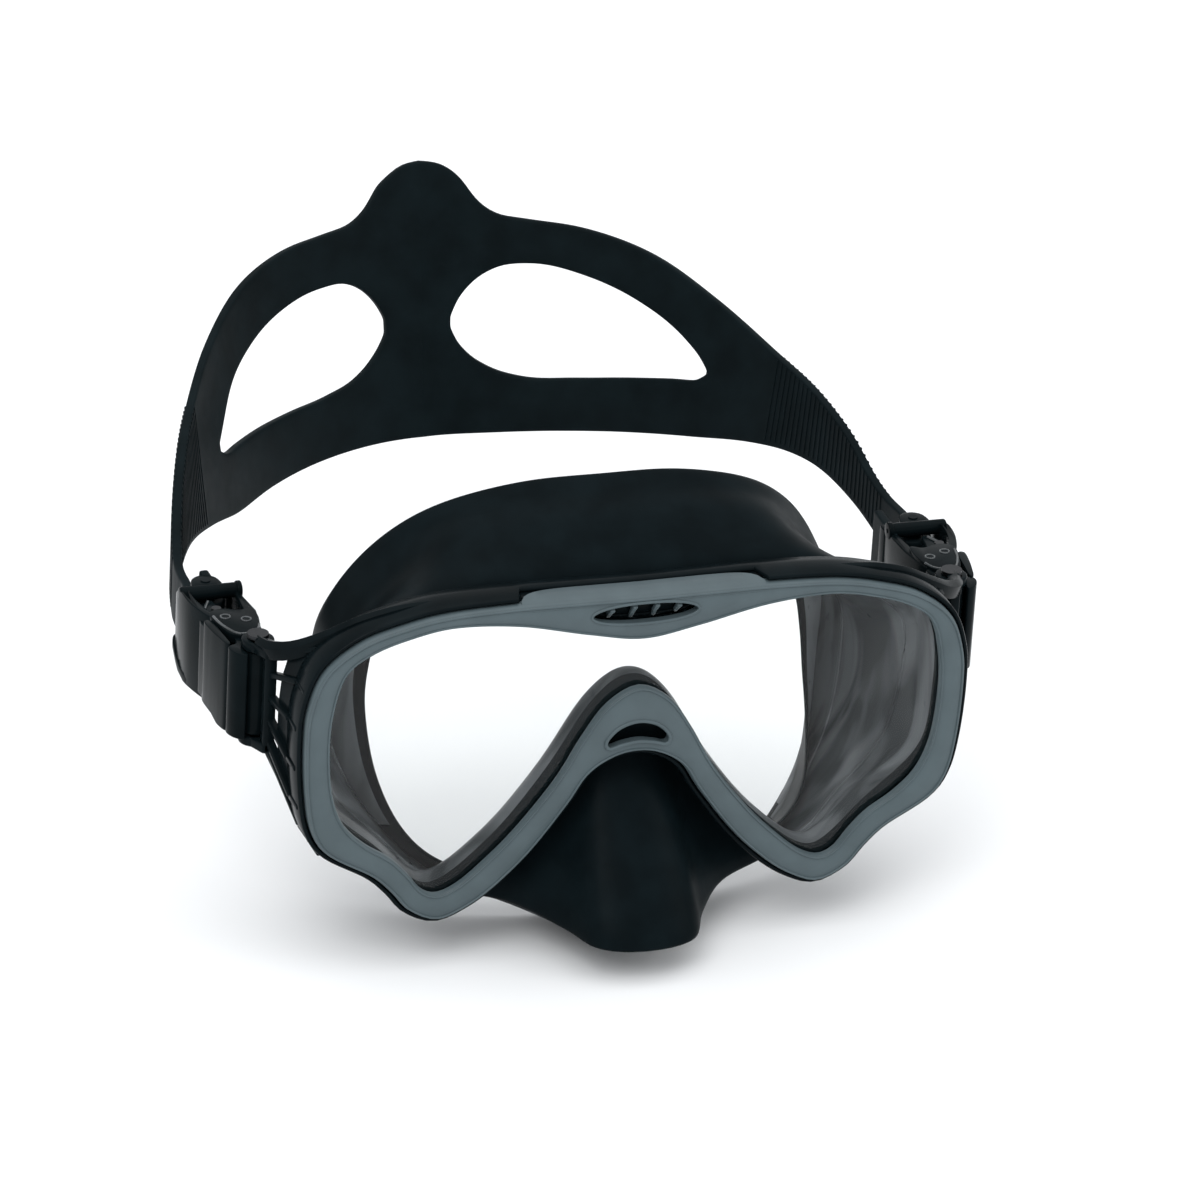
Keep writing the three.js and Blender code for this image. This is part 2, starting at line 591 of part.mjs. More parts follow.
// A torsion spring round the lever pin, lying in the lever's gap.
function leverSpring() {
  const stepsPerTurn = 12;
  const steps = SPRING_TURNS * stepsPerTurn;
  const height = 2 * SPRING_ROOM - 4 * SPRING_WIRE - GAP;
  const points = Array.from({ length: steps + 1 }, (_, step) => {
    const angle = (step / stepsPerTurn) * Math.PI * 2;
    return new THREE.Vector3(
      LEVER_PIVOT.x + SPRING_RADIUS * Math.cos(angle),
      LEVER_PIVOT.y + SPRING_RADIUS * Math.sin(angle),
      BUCKLE_MID_Z + (step / steps - 0.5) * height);
  });
  const round = new THREE.EllipseCurve(0, 0, SPRING_WIRE, SPRING_WIRE, 0, Math.PI * 2);
  const section = new THREE.Shape(round.getPoints(6).slice(0, -1));
  const extrudePath = new THREE.CatmullRomCurve3(points);
  return new THREE.ExtrudeGeometry(section, { steps, bevelEnabled: false, extrudePath });
}

// The strap's looped end: in along the outside, round the roller and out along the inside.
function strapLoop() {
  const outer = STRAP_LOOP_RADIUS + STRAP_LOOP_THICKNESS / 2;
  const inner = STRAP_LOOP_RADIUS - STRAP_LOOP_THICKNESS / 2;
  const legEnd = STRAP_END_Y - STRAP_END_GAP;
  const shape = new THREE.Shape();
  shape.moveTo(ROLLER.x + outer, legEnd);
  shape.lineTo(ROLLER.x + outer, ROLLER.y);
  shape.absarc(ROLLER.x, ROLLER.y, outer, 0, -Math.PI, true);
  shape.lineTo(ROLLER.x - outer, legEnd - 1);
  shape.lineTo(ROLLER.x - inner, legEnd - 1);
  shape.lineTo(ROLLER.x - inner, ROLLER.y);
  shape.absarc(ROLLER.x, ROLLER.y, inner, -Math.PI, 0, false);
  shape.lineTo(ROLLER.x + inner, legEnd);
  shape.closePath();
  const half = STRAP_ARM_WIDTH / 2;
  const settings = { depth: 2 * half, bevelEnabled: false, curveSegments: 12 };
  const geometry = new THREE.ExtrudeGeometry(shape, settings);
  geometry.translate(0, 0, BUCKLE_MID_Z - half);
  return geometry;
}

// ---------- assembly ----------

const GREY_PLASTIC = new THREE.MeshStandardMaterial({ color: '#62727a', roughness: 0.42, metalness: 0.0 });
const BLACK_PLASTIC = new THREE.MeshStandardMaterial({ color: '#14191b', roughness: 0.32, metalness: 0.0 });
const SILICONE = new THREE.MeshStandardMaterial({ color: '#12191c', roughness: 0.6, metalness: 0.0 });
const GLASS = new THREE.MeshStandardMaterial({
  color: '#e8f0f2', roughness: 0.05, metalness: 0.0, transparent: true, opacity: 0.3,
});
const STEEL = new THREE.MeshStandardMaterial({ color: '#a8acae', roughness: 0.3, metalness: 1.0 });

const mask = new THREE.Group();

function addPiece(name, geometry, material) {
  const piece = new THREE.Mesh(geometry, material.clone());
  piece.name = name;
  mask.add(piece);
}

addPiece('lens', lens(), GLASS);
addPiece('front_bezel', frontBezel(), GREY_PLASTIC);
addPiece('bridge_grille', bridgeGrille(), BLACK_PLASTIC);
addPiece('main_frame', mainFrame(), BLACK_PLASTIC);
addPiece('skirt', skirt(), SILICONE);
addPiece('strap', strap(), SILICONE);

const PAIRED_PIECES = [
  ['hinge_pin', hingePin, STEEL],
  ['buckle_body', buckleBody, BLACK_PLASTIC],
  ['strap_roller', strapRoller, BLACK_PLASTIC],
  ['release_lever', releaseLever, BLACK_PLASTIC],
  ['lever_pin', leverPin, STEEL],
  ['lever_spring', leverSpring, STEEL],
  ['strap_end', strapLoop, SILICONE],
];

for (const [name, build, material] of PAIRED_PIECES) {
  const right = build();
  addPiece(`${name}_right`, right, material);
  addPiece(`${name}_left`, mirrored(right), material);
}

export default mask;
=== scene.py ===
"""The looks of a single-lens diving mask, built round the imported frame.

Tables are in millimetres in the part's own frame: the lens faces -Y, +Z is up and +X is to the right of
someone who faces the lens. Paired pieces are drawn on the +X side and mirrored. Meshes are made in metres.
"""

import math

import bmesh
import bpy
import numpy as np
from mathutils import Matrix, Vector


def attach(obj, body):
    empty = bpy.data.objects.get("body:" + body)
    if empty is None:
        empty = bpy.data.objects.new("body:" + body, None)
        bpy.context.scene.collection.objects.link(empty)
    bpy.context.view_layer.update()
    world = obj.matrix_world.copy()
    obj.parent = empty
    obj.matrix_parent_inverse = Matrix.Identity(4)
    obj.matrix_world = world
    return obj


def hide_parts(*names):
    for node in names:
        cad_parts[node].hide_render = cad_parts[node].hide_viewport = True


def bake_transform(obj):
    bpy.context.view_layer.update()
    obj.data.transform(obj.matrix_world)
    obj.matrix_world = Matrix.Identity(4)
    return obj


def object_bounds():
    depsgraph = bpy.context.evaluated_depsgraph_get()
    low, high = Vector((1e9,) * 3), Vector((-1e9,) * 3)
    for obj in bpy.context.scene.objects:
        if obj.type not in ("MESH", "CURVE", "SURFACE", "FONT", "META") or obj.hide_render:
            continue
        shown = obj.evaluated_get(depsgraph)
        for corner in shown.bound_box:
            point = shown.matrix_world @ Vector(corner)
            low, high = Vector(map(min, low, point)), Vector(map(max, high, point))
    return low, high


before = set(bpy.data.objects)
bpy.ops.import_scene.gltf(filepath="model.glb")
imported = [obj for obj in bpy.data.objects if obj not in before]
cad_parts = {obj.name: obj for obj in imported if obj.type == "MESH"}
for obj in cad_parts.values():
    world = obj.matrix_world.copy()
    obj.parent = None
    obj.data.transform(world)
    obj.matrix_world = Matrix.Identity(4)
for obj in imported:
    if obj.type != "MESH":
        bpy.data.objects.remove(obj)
cad_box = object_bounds()

MM = 0.001
SIDES = {"right": 1, "left": -1}

# ---------- driving dimensions ----------

BEZEL_FRONT = -2.3
BEZEL_CROWN = 0.25
BEZEL_BACK = 1.9
LENS_LIP = -0.35
LIP_REACH = 3.4
FRAME_FRONT = -0.5
FRAME_BACK = 9.5
FRAME_RIM = 1.5
FRAME_SEAT = 2.3
FRAME_SHADOW_GAP = 0.4
SADDLE_HALF = 30.5
SADDLE_CREASE = 1.3
SADDLE_BACK = 4.6
SADDLE_RISE = 1.3
SADDLE_COLUMNS = 49
SADDLE_END_POWER = 9
BEZEL_CUT = 6
SKIRT_WALL = 1.8
SKIRT_EDGE = 0.8
RIM_COLUMNS = 240
SKIRT_COLUMNS = 130
SEAT_FLANGE = 2.3
SEAT_STEP = 0.6
SEAT_Y = 3.15
THIN_FROM = 0.75
ROWS_PER_STEP = 4
WALL_ROWS = slice(4, 16)
SKIRT_CENTRE = (0, 20, -22)
# Rows of the inner skin, from the opening's edge: the plain flange, wider below FLANGE_FADE, and next to it a
# band painted far lighter, a painted pool of light on the wall. A few rows at the seat are plain too.
SKIRT_FLANGE_ROWS = 1
FOOT_FLANGE_ROWS = 8
SKIRT_LIT_BAND_ROWS = 4
SKIRT_SEAT_ROWS = 3
FLANGE_FADE = (-64, -53)
# Ridges on the inner skin, as [row from the seat, radius].
SKIRT_RIDGES = [[9, 0.5], [15, 0.45]]
NOSE_EDGE_ROW = 16
NOSE_EDGE_STATIONS = 4
NOSE_EDGE_RADIUS = 0.55

VENT_CENTRE = (0, 13.4)
VENT_HALF = (13.2, 2.5)
VENT_SQUARENESS = 0.86
VENT_RIBS = (-8.4, -2.8, 2.8, 8.4)
VENT_RIB_LEAN = 0.25
VENT_RIB_CLEARANCE = 0.4

STRAP_THICKNESS = 2.4
STRAP_HALF_WIDTH = 95.6
STRAP_BACK = 188.6
STRAP_WIDEST_Y = 48.8
STRAP_EXPONENT = 1.93
STRAP_LEAN = 0.2
STRAP_LEAN_Z = 13
STRAP_LEAN_FADE = (80, 145)
STRAP_CURVE_END = 76
STRAP_LOOP_RADIUS = 3.85
# The strap's legs beside its loop, as [x from the leg's line, y].
STRAP_RUN_IN = [[-1.6, 70], [-0.5, 66], [0, 63]]
STRAP_TAIL = [[0, 64], [0.1, 70], [0.3, 76]]
STRAP_STEPS = 600
STRAP_EDGE = 0.55
STRAP_SEAM = 0.4
# Rows of faces below, beside and above the opening.
STRAP_BAND_ROWS = (6, 3, 6)
STRAP_COLUMN_STEP = 3
OPENING_FIRST_STEPS = (-1.1, 0, 0.5, 1.2, 2.1, 3.3, 4.8, 6.6)
OPENING_LAST_STEPS = (-4, -2.5, -1.2, 0, 2)
LOOP_FROM = 159.5
LOOP_COLUMNS = 36
# The first rib's distance from the back's middle, the last one's limit, and their spacing.
STRAP_RIBS = (104, 150, 1.7)
STRAP_RIB_SIZE = (0.36, 0.8)
STRAP_RIB_ENDS = (1.6, 0.5)

HINGE = (88, 24.5)
ROLLER = (91.2, 61)
BUCKLE_LOW = -23.5
BUCKLE_HIGH = 1.0
BUCKLE_MID = (BUCKLE_LOW + BUCKLE_HIGH) / 2
CHEEK = 2.5
BARREL_HALF = 10.9
BARREL_RADIUS = 3.4

# The camera, the lights and the floor are placed in metres.
CAMERA_LENS = 226.8
CAMERA_SENSOR = 36
CAMERA_RIGHT = Vector((0.9522, -0.3010, 0.0522))
CAMERA_UP = Vector((0.0872, 0.4318, 0.8977))
CAMERA_BACK = Vector((-0.2928, -0.8503, 0.4374))
CAMERA_AIM = Vector((-0.00993, 0.00266, 0.01541))
CAMERA_DISTANCE = 1.8

LIGHT_AIM = (0, 0.05, 0)
# Each softbox has a place, a size and a power.
SOFTBOXES = {"key": ((-0.7, -0.9, 1.2), (0.8, 0.8), 9), "fill": ((1.2, -0.7, 0.7), (0.6, 0.9), 4)}
SKY_COLOUR = (0.97, 0.985, 1)
SKY_STRENGTH = 0.9
SUN_POWER = 1.1
SUN_SPREAD = 70
FLOOR_HALF = 6
FLOOR_DROP = 0.0002

# ---------- outlines ----------

# The rim's right half from the top round to the crown of the nose arch: [window x, z, bezel edge x, z].
RIM = [
    [0, 6.3, 0, 17.4], [14, 8.6, 16, 17.55], [31, 12.4, 33, 17.6], [47, 13.6, 49, 16.9],
    [58.5, 11.6, 60, 14.8], [67.5, 8.4, 70, 11.4], [73.5, 3.6, 78.5, 4.7], [76.2, -6, 82.3, -5],
    [76.8, -16, 83, -15], [75.7, -28, 82.3, -28], [72.5, -36.5, 80.4, -38], [67, -42.3, 76, -44.4],
    [60.5, -46.8, 65.3, -51], [56, -51.5, 60, -56], [52.5, -56, 55.5, -61.3], [48.5, -57.6, 48.5, -64.4],
    [43.5, -55.6, 41.5, -62], [37.5, -50.6, 34.6, -57.2], [29.5, -42.4, 25.7, -48.4],
    [20, -30, 16.8, -36.5], [13.8, -19, 12, -29], [7.9, -10.7, 6, -25], [0, -6.6, 0, -23.8],
]

# The slot in the nose arch, as [x, z].
SLOT_TOP = [[-7.6, -20], [-4.6, -17], [0, -15.8], [4.6, -17], [7.6, -20]]
SLOT_FOOT = [[7.2, -22], [3.8, -21.2], [0, -20.7], [-3.8, -21.2], [-7.2, -22]]

# The skirt's right half at fourteen stations from the forehead round to the nose. The seat is [x, z] and the
# other rows are [x, y, z].
SKIRT_SEAT = [
    [0, 7.5], [20, 11.4], [40, 15.2], [57, 13.2], [70, 8.6], [76.9, -2], [78, -18], [75.5, -34], [62.5, -47],
    [49, -58.8], [34, -48.6], [20.2, -31.5], [9.5, -14.2], [0, -7.8],
]
SKIRT_THROAT = [
    [0, 11.5, 17], [20, 12, 18.5], [40, 13, 19], [57, 14, 13.5], [69.5, 15, 4.5], [77.5, 17, -5],
    [78, 17, -22], [73, 15.5, -38], [61, 13.5, -50], [48, 12, -61], [31, 11, -54], [17, 10.5, -41],
    [8, 10.4, -28.5], [0, 10.3, -26],
]
SKIRT_WAIST = [
    [0, 22, 26.5], [20, 23, 26], [40, 26, 22.5], [52, 28.5, 12], [62, 31.5, -1.6], [70.5, 33.5, -11],
    [71.5, 33, -25], [67, 29, -40], [57, 24, -53.5], [44, 15, -64], [27, 5, -65], [17.5, -7, -65],
    [12, -17, -64.5], [0, -20, -64.5],
]
SKIRT_RIM = [
    [0, 37, 32], [20, 38.5, 30.8], [39, 42, 25], [52, 46, 15.5], [61, 51, 1.5], [65, 54, -13],
    [64, 52.5, -29], [61, 46.5, -45], [55, 38, -57.5], [43.5, 29, -67], [28, 23, -72.5],
    [17, 20, -75.5], [8, 18.5, -77], [0, 18, -77.5],
]
SKIRT_OPENING = [
    [0, 30, 19], [19, 32, 17.5], [35, 35.5, 12.5], [46, 38.5, 4], [52.5, 40, -6], [55, 40.3, -17],
    [55.8, 38.5, -27.5], [55, 30.5, -40], [51.5, 20.5, -49.5], [44, 15, -56.5], [30, 15, -63],
    [17, 14.5, -66.5], [8, 14, -68], [0, 14, -68.5],
]
# Under the nose, the row between waist and rim. Elsewhere it lies at the share SHOULDER of the way.
NOSE_UNDERSIDE = [[42, 22, -67], [28, 14, -69], [17.5, -1, -69], [11, -11, -69.2], [0, -14, -69.2]]
SHOULDER = 0.55

# The strap laid flat: [distance from the back's middle, height]. Its lower edge and its opening lie a little
# higher on the +X side.
STRAP_TOP = [
    [0, 48], [5, 47], [10, 43], [14, 37.5], [18, 34.5], [25, 33.5], [40, 33], [60, 30], [80, 23.5],
    [100, 17], [120, 11.4], [134, 5], [144, -1.4], [152, -4], [162, -4], [220, -4],
]
STRAP_BOTTOM = {
    "right": [
        [0, -24], [20, -23], [40, -20.5], [60, -17], [80, -13], [100, -8.6], [112, -7], [122, -7.2],
        [138, -11.5], [150, -16], [162, -19], [220, -19],
    ],
    "left": [
        [0, -24], [40, -24], [60, -23.6], [80, -22.6], [100, -18.5], [120, -15.5], [138, -17], [150, -19],
        [162, -19], [220, -19],
    ],
}
OPENING_TOP = {
    "right": [
        [8, 7.5], [9.5, 11], [12.5, 15.2], [18, 19.6], [28, 22], [43, 20.8], [58, 17.3], [72, 11.8],
        [79, 7.5], [81.5, 5.2],
    ],
    "left": [
        [10.5, 8], [12, 11], [15, 15], [20, 18.7], [30, 20], [45, 18.5], [60, 14.7], [75, 8], [83, 1.5],
        [87, -1.5],
    ],
}
OPENING_FOOT = {
    "right": [
        [8, 4.5], [9.5, 1.5], [12.5, -2], [18, -5.4], [28, -7.6], [43, -6], [58, -3], [72, 0.2], [79, 2],
        [81.5, 4],
    ],
    "left": [
        [10.5, 4], [12, 1.5], [15, -2], [20, -5.6], [30, -8], [45, -8.2], [60, -7.5], [75, -6.6], [83, -5.8],
        [87, -3.5],
    ],
}

# The frame's side arm. Each rib has a height where it leaves the frame and one where it ends at the upright
# bar. The sweep is a member that grows out of the frame's top edge and bends back to the bar's head.
ARM_BAR = (86.5, 18.5)
ARM_BAR_HALF = 13.75
ARM_BAR_SIZE = (3, 3)
ARM_RIB_ROOT = (1.4, 8)
ARM_RIBS = [[6.4, 1], [-1.6, -4.5], [-11, -10.2], [-21.5, -16], [-32, -21.6], [-40, -23.4], [-45, -24.4]]
ARM_WEB = 0.62
ARM_WEB_HALF = 0.5
ARM_SWEEP = [
    [47, 4.6, 18.2], [58, 5, 16.6], [68, 6.4, 13.4], [76, 9, 8.6], [82, 13, 4.6], [86.5, 18, 2.4],
    [88.2, 23, 1.8],
]
# The sweep's half height and half depth at a distance out: [x, half height, half depth].
ARM_SWEEP_SIZE = [[47, 0.2, 0.2], [60, 1.4, 1.1], [80, 2.2, 1.5]]
RIM_SIDE_FROM = 69
LUG = [[85, 17], [88, 17], [91, 23.5], [86, 24.5]]
LUG_HEIGHT = 2.5
LUG_RADIUS = 4.0

# Plans of the buckle's parts, as [x, y]. The shroud runs round the hinge's barrel.
SHROUD = [
    [91.4, 34], [92, 30.5], [92.6, 27.4], [94.7, 26.2], [94.8, 24.2], [93.6, 21.8], [91.6, 20.6],
    [91.2, 21.6], [91.7, 24], [91.4, 27], [89.5, 29.5], [86.4, 29.8], [85.2, 33.5],
]
TOP_PLATE = [
    [84.6, 35], [86, 31], [89.5, 29.3], [92, 30.2], [93.2, 31.6], [94.4, 36], [95.4, 40.5], [94.6, 43.4],
    [91.5, 44.4], [87.5, 43], [84.4, 44.2], [83.9, 39.5],
]
UNDER_PLATE = [
    [84.6, 31], [88, 29.8], [92, 30], [93.4, 34], [94.2, 40], [97.2, 46.5], [98.6, 52], [98.8, 60],
    [97.6, 64.4], [91, 65], [84, 64.6], [83.5, 56], [83.1, 44],
]
OUTER_WALL = [
    [94.2, 39.5], [96.2, 42.5], [98.1, 49], [98.6, 55], [98.4, 60.6], [97.4, 63.6], [96.7, 60], [96.5, 52],
    [95.2, 46], [93.6, 42.4],
]
INNER_WALL = [[84.6, 33], [87, 33], [85.8, 45], [85.2, 60.6], [83.7, 61], [83.4, 54], [83, 44]]
AXLE_TAB = [[88, 57.5], [94.4, 57.5], [94.6, 62], [92.6, 64.2], [89.8, 64.2], [87.8, 62]]
NECK = [[84.8, 24.5], [91.2, 24.5], [91.3, 31], [84.8, 31]]
NOSE = [[84.8, 29.5], [91.6, 29.5], [92.6, 33.5], [84.6, 33.5]]
GUARD_BAR = [[83.5, 59.5], [85.6, 59.5], [85.6, 63.5], [83.5, 63.5]]
# Heights along the buckle, as [y, height].
UNDERSIDE = [[30, BUCKLE_LOW], [36, BUCKLE_LOW + 1.2], [52, BUCKLE_LOW + 1.4], [57, -21], [64, -17]]
WALL_FOOT = 0.3
OUTER_WALL_TOP = [[55, BUCKLE_HIGH - 0.2], [59, BUCKLE_HIGH - 1.4], [64, BUCKLE_HIGH - 4.7]]
INNER_WALL_TOP = [[43, BUCKLE_HIGH - 0.4], [47, BUCKLE_HIGH - 2]]
TOP_BAR = (57.4, -0.9)
# The top bar, its collar and its centre mark, as [inner x, outer x, radius, bevel].
TOP_BAR_STEPS = [[83.7, 98.6, 1.85, 0.5], [83.2, 84.6, 2.2, 0.4], [83.0, 83.4, 0.6, 0.15]]
# The buckle's painted highlight lines, thin lighter rods along its edges, with their radii.
PLATE_EDGE = [[84.9, 34.5], [86.2, 31.6], [89.4, 30.1], [91.7, 31], [93.9, 36], [94.7, 40.5]]
PLATE_EDGE_RADIUS = 0.32
DIMPLES = [[87.3, 37.6], [91.9, 39.8]]
DIMPLE_RADIUS = 1.15
DIMPLE_RIM_RADIUS = 0.24
LEVER_EDGE = [[96.4, 44.6], [95.2, 47.4], [93.9, 50.6], [92.6, 53.4]]
LEVER_EDGE_RADIUS = 0.4
LEVER_EDGE_Z = -1.5
LEVER_HEIGHTS = (BUCKLE_MID - 9.4, BUCKLE_MID + 9.6)
LEVER = [
    [93.8, 34.2], [95, 34.2], [96.4, 38.5], [96.9, 42], [97, 44.2], [96, 46.5], [94.7, 48], [93.9, 51],
    [92.8, 54.2], [91.3, 54.2], [90.8, 50], [90.2, 46.5], [91.6, 42], [93, 39],
]
PAD = [[94, 27.2], [95, 27.1], [95.9, 30.5], [96.8, 35], [97.2, 39.6], [95.3, 39.6], [94.5, 33]]
PAD_LOW = [[27, -22.9], [30.5, -22.9], [33.5, -21.4], [40, -20.6]]
PAD_HIGH = 0.4

# ---------- curves ----------


def both_halves(half, flipped=(0,)):
    """The right half of a closed loop, then its mirror image without the two points on the mid-plane."""
    mirror = [[-value if axis in flipped else value for axis, value in enumerate(row)] for row in half[1:-1]]
    return list(half) + mirror[::-1]


def catmull(a, b, c, d, t):
    """The point at share t between b and c of a Catmull-Rom curve."""
    return (2 * b + (c - a) * t + (2 * a - 5 * b + 4 * c - d) * t**2 + (3 * b - a - 3 * c + d) * t**3) / 2


def smooth_curve(points, count, closed):
    """Points evenly spaced by length along a Catmull-Rom curve through the given ones."""
    steps = 24
    points = np.array(points, float)
    last = len(points) if closed else len(points) - 1
    dense = []
    for start in range(last):
        at = [start - 1, start, start + 1, start + 2]
        at = [i % len(points) if closed else min(max(i, 0), len(points) - 1) for i in at]
        dense += [catmull(*points[at], t) for t in np.arange(steps) / steps]
    dense.append(dense[0] if closed else points[-1])
    dense = np.array(dense)
    length = np.concatenate([[0], np.cumsum(np.linalg.norm(np.diff(dense, axis=0), axis=1))])
    wanted = np.linspace(0, length[-1], count + 1 if closed else count)
    curve = np.stack([np.interp(wanted, length, dense[:, axis]) for axis in range(dense.shape[1])], axis=1)
    return curve[:-1] if closed else curve


def station_curve(loop, count):
    """A closed curve sampled by station, so that rows keep matching columns."""
    size = len(loop)
    points = []
    for column in range(count):
        place = column / count * size
        i = int(place)
        points.append(catmull(*[loop[(i + k) % size] for k in (-1, 0, 1, 2)], place - i))
    return np.array(points)


def open_track(track, steps):
    """An open curve with a fixed number of steps between its given points."""
    size = len(track)
    points = []
    for i in range(size - 1):
        four = [track[min(max(i + k, 0), size - 1)] for k in (-1, 0, 1, 2)]
        points += [catmull(*four, step / steps) for step in range(steps)]
    return np.array(points + [track[-1]])


def level(height, y):
    """A plain height, or one read at y, in straight lines, from [y, height] pairs."""
    return np.interp(y, *zip(*height)) if isinstance(height, list) else height


def raised(profile, lift):
    """A profile of [y, height] pairs moved up."""
    return [[y, z + lift] for y, z in profile]


def height_of(profile, distance):
    """A height along [distance, height] pairs, eased through each pair by a cubic."""
    at, height = np.array(profile, float).T
    slope = np.gradient(height, at)
    i = int(np.clip(np.searchsorted(at, distance, side="right") - 1, 0, len(at) - 2))
    span = at[i + 1] - at[i]
    t = (distance - at[i]) / span
    rise = height[i + 1] - height[i]
    first = (t**3 - 2 * t**2 + t) * span * slope[i]
    second = (t**3 - t**2) * span * slope[i + 1]
    return height[i] + rise * (3 * t**2 - 2 * t**3) + first + second


def outward(loop):
    """Unit normals of a closed XZ loop that runs clockwise, seen from the front."""
    along = np.roll(loop, -1, axis=0) - np.roll(loop, 1, axis=0)
    normals = np.stack([-along[:, 1], along[:, 0]], axis=1)
    return normals / np.linalg.norm(normals, axis=1, keepdims=True)


# ---------- mesh building ----------


def add_grid(bm, grid, close_rows, close_columns, cap=False):
    """Adds quads over a grid of points, rows by columns. cap closes the first and last rows."""
    verts = [[bm.verts.new(point) for point in row] for row in grid]
    rows = len(verts)
    columns = len(verts[0])
    for row in range(rows if close_rows else rows - 1):
        for column in range(columns if close_columns else columns - 1):
            after = (row + 1) % rows
            beside = (column + 1) % columns
            bm.faces.new((verts[row][column], verts[row][beside], verts[after][beside], verts[after][column]))
    if cap:
        bm.faces.new(verts[0][::-1])
        bm.faces.new(verts[-1])


def pour(shape, bm):
    """Moves a temporary shape into bm."""
    mesh = bpy.data.meshes.new("temporary")
    shape.to_mesh(mesh)
    shape.free()
    bm.from_mesh(mesh)
    bpy.data.meshes.remove(mesh)


def add_shape(bm, shape, bevel, sharp=30):
    """Rounds a temporary shape's sharp edges and adds it to bm."""
    bmesh.ops.recalc_face_normals(shape, faces=shape.faces)
    edges = [e for e in shape.edges if e.is_manifold and e.calc_face_angle() > math.radians(sharp)]
    if bevel:
        bmesh.ops.bevel(shape, geom=edges, offset=bevel, segments=3, profile=0.5, affect="EDGES",
                        clamp_overlap=True)
    pour(shape, bm)


def add_loft(bm, rings, bevel, sharp=30):
    """A closed form through rings of points, with its sharp edges rounded."""
    shape = bmesh.new()
    add_grid(shape, rings, False, True, cap=True)
    add_shape(bm, shape, bevel, sharp)


def add_prism(bm, plan, low, high, bevel=0.4, smooth=0):
    """An upright piece from low to high, each a height or a profile of [y, height] pairs.

    smooth turns the plan into a curve with that many points.
    """
    outline = smooth_curve(plan, smooth, True) if smooth else np.array(plan, float)
    add_loft(bm, [[(x, y, level(end, y)) for x, y in outline] for end in (low, high)], bevel)


def add_plate(bm, outline, front, back, bevel=0.0):
    """A piece standing in the XZ plane, from one depth to another."""
    add_loft(bm, [[(x, y, z) for x, z in outline] for y in (front, back)], bevel)


def unit_circle(sides):
    """The corners of a regular polygon round the origin, one unit from it."""
    angles = [2 * math.pi * side / sides for side in range(sides)]
    return [(math.cos(angle), math.sin(angle)) for angle in angles]


def add_rod(bm, start, end, radius, bevel=0.3, sides=32):
    """A round bar between two points."""
    start, end = Vector(start), Vector(end)
    axis = end - start
    turn = axis.to_track_quat("Z", "Y")
    circle = [turn @ Vector((radius * x, radius * y, 0)) for x, y in unit_circle(sides)]
    add_loft(bm, [[centre + point for point in circle] for centre in (start, end)], bevel, sharp=60)


def add_line(bm, plan, z, radius):
    """Thin rods end to end along a plan, at one height."""
    for (x0, y0), (x1, y1) in zip(plan[:-1], plan[1:]):
        add_rod(bm, (x0, y0, z), (x1, y1, z), radius, 0, sides=8)


def add_bar(bm, start, end, across, size_start, size_end, bevel=0.35):
    """A tapered bar with a rectangular section. across is the direction of each size's first number."""
    start, end = Vector(start), Vector(end)
    along = (end - start).normalized()
    side = (Vector(across) - along * along.dot(Vector(across))).normalized()
    up = along.cross(side)
    corners = [(-1, -1), (1, -1), (1, 1), (-1, 1)]
    rings = []
    for centre, (width, height) in ((start, size_start), (end, size_end)):
        rings.append([centre + side * (a * width / 2) + up * (b * height / 2) for a, b in corners])
    add_loft(bm, rings, bevel)


def add_bead(bm, loop, y, radius, sides=8):
    """A round bead that follows a closed XZ loop, whose section stays square to the XZ plane."""
    normals = outward(loop)
    circle = [(radius * a, radius * b) for a, b in unit_circle(sides)]
    rings = [[(x + nx * a, y + b, z + nz * a) for a, b in circle] for (x, z), (nx, nz) in zip(loop, normals)]
    shape = bmesh.new()
    add_grid(shape, rings, True, True)
    add_shape(bm, shape, 0)


def add_tube(bm, line, radius, closed, sides=8):
    """A round bead along a line of points in space."""
    line = np.array(line, float)
    along = np.roll(line, -1, axis=0) - np.roll(line, 1, axis=0) if closed else np.gradient(line, axis=0)
    circle = [Vector((radius * x, radius * y, 0)) for x, y in unit_circle(sides)]
    rings = []
    for centre, direction in zip(line, along):
        turn = Vector(direction).to_track_quat("Z", "Y")
        rings.append([Vector(centre) + turn @ point for point in circle])
    add_grid(bm, rings, closed, True, cap=not closed)


def placed(name, data):
    """A new object in the scene."""
    obj = bpy.data.objects.new(name, data)
    bpy.context.scene.collection.objects.link(obj)
    return obj


def object_from(name, bm, side=1):
    """Turns a mesh drawn in millimetres into an object in metres, mirrored for the left-hand side."""
    bmesh.ops.transform(bm, matrix=Matrix.Diagonal((MM * side, MM, MM, 1)), verts=bm.verts)
    bmesh.ops.recalc_face_normals(bm, faces=bm.faces)
    mesh = bpy.data.meshes.new(name)
    bm.to_mesh(mesh)
    bm.free()
    return placed(name, mesh)


def shade(obj, angle=40):
    """Smooth shading that keeps edges sharper than angle."""
    obj.data.polygons.foreach_set("use_smooth", [True] * len(obj.data.polygons))
    obj.data.set_sharp_from_angle(angle=math.radians(angle))
    return obj


def bake_modifiers(obj):
    """Replaces the mesh by what its modifiers make of it."""
    evaluated = obj.evaluated_get(bpy.context.evaluated_depsgraph_get())
    mesh = bpy.data.meshes.new_from_object(evaluated)
    mesh.name = obj.name
    obj.modifiers.clear()
    obj.data = mesh


def cut_away(obj, cutter_bm):
    """Cuts a shape, drawn in millimetres, out of an object."""
    cutter = object_from("cutter", cutter_bm)
    modifier = obj.modifiers.new("cut", "BOOLEAN")
    modifier.operation = "DIFFERENCE"
    modifier.solver = "EXACT"
    modifier.object = cutter
    bake_modifiers(obj)
    bpy.data.objects.remove(cutter)


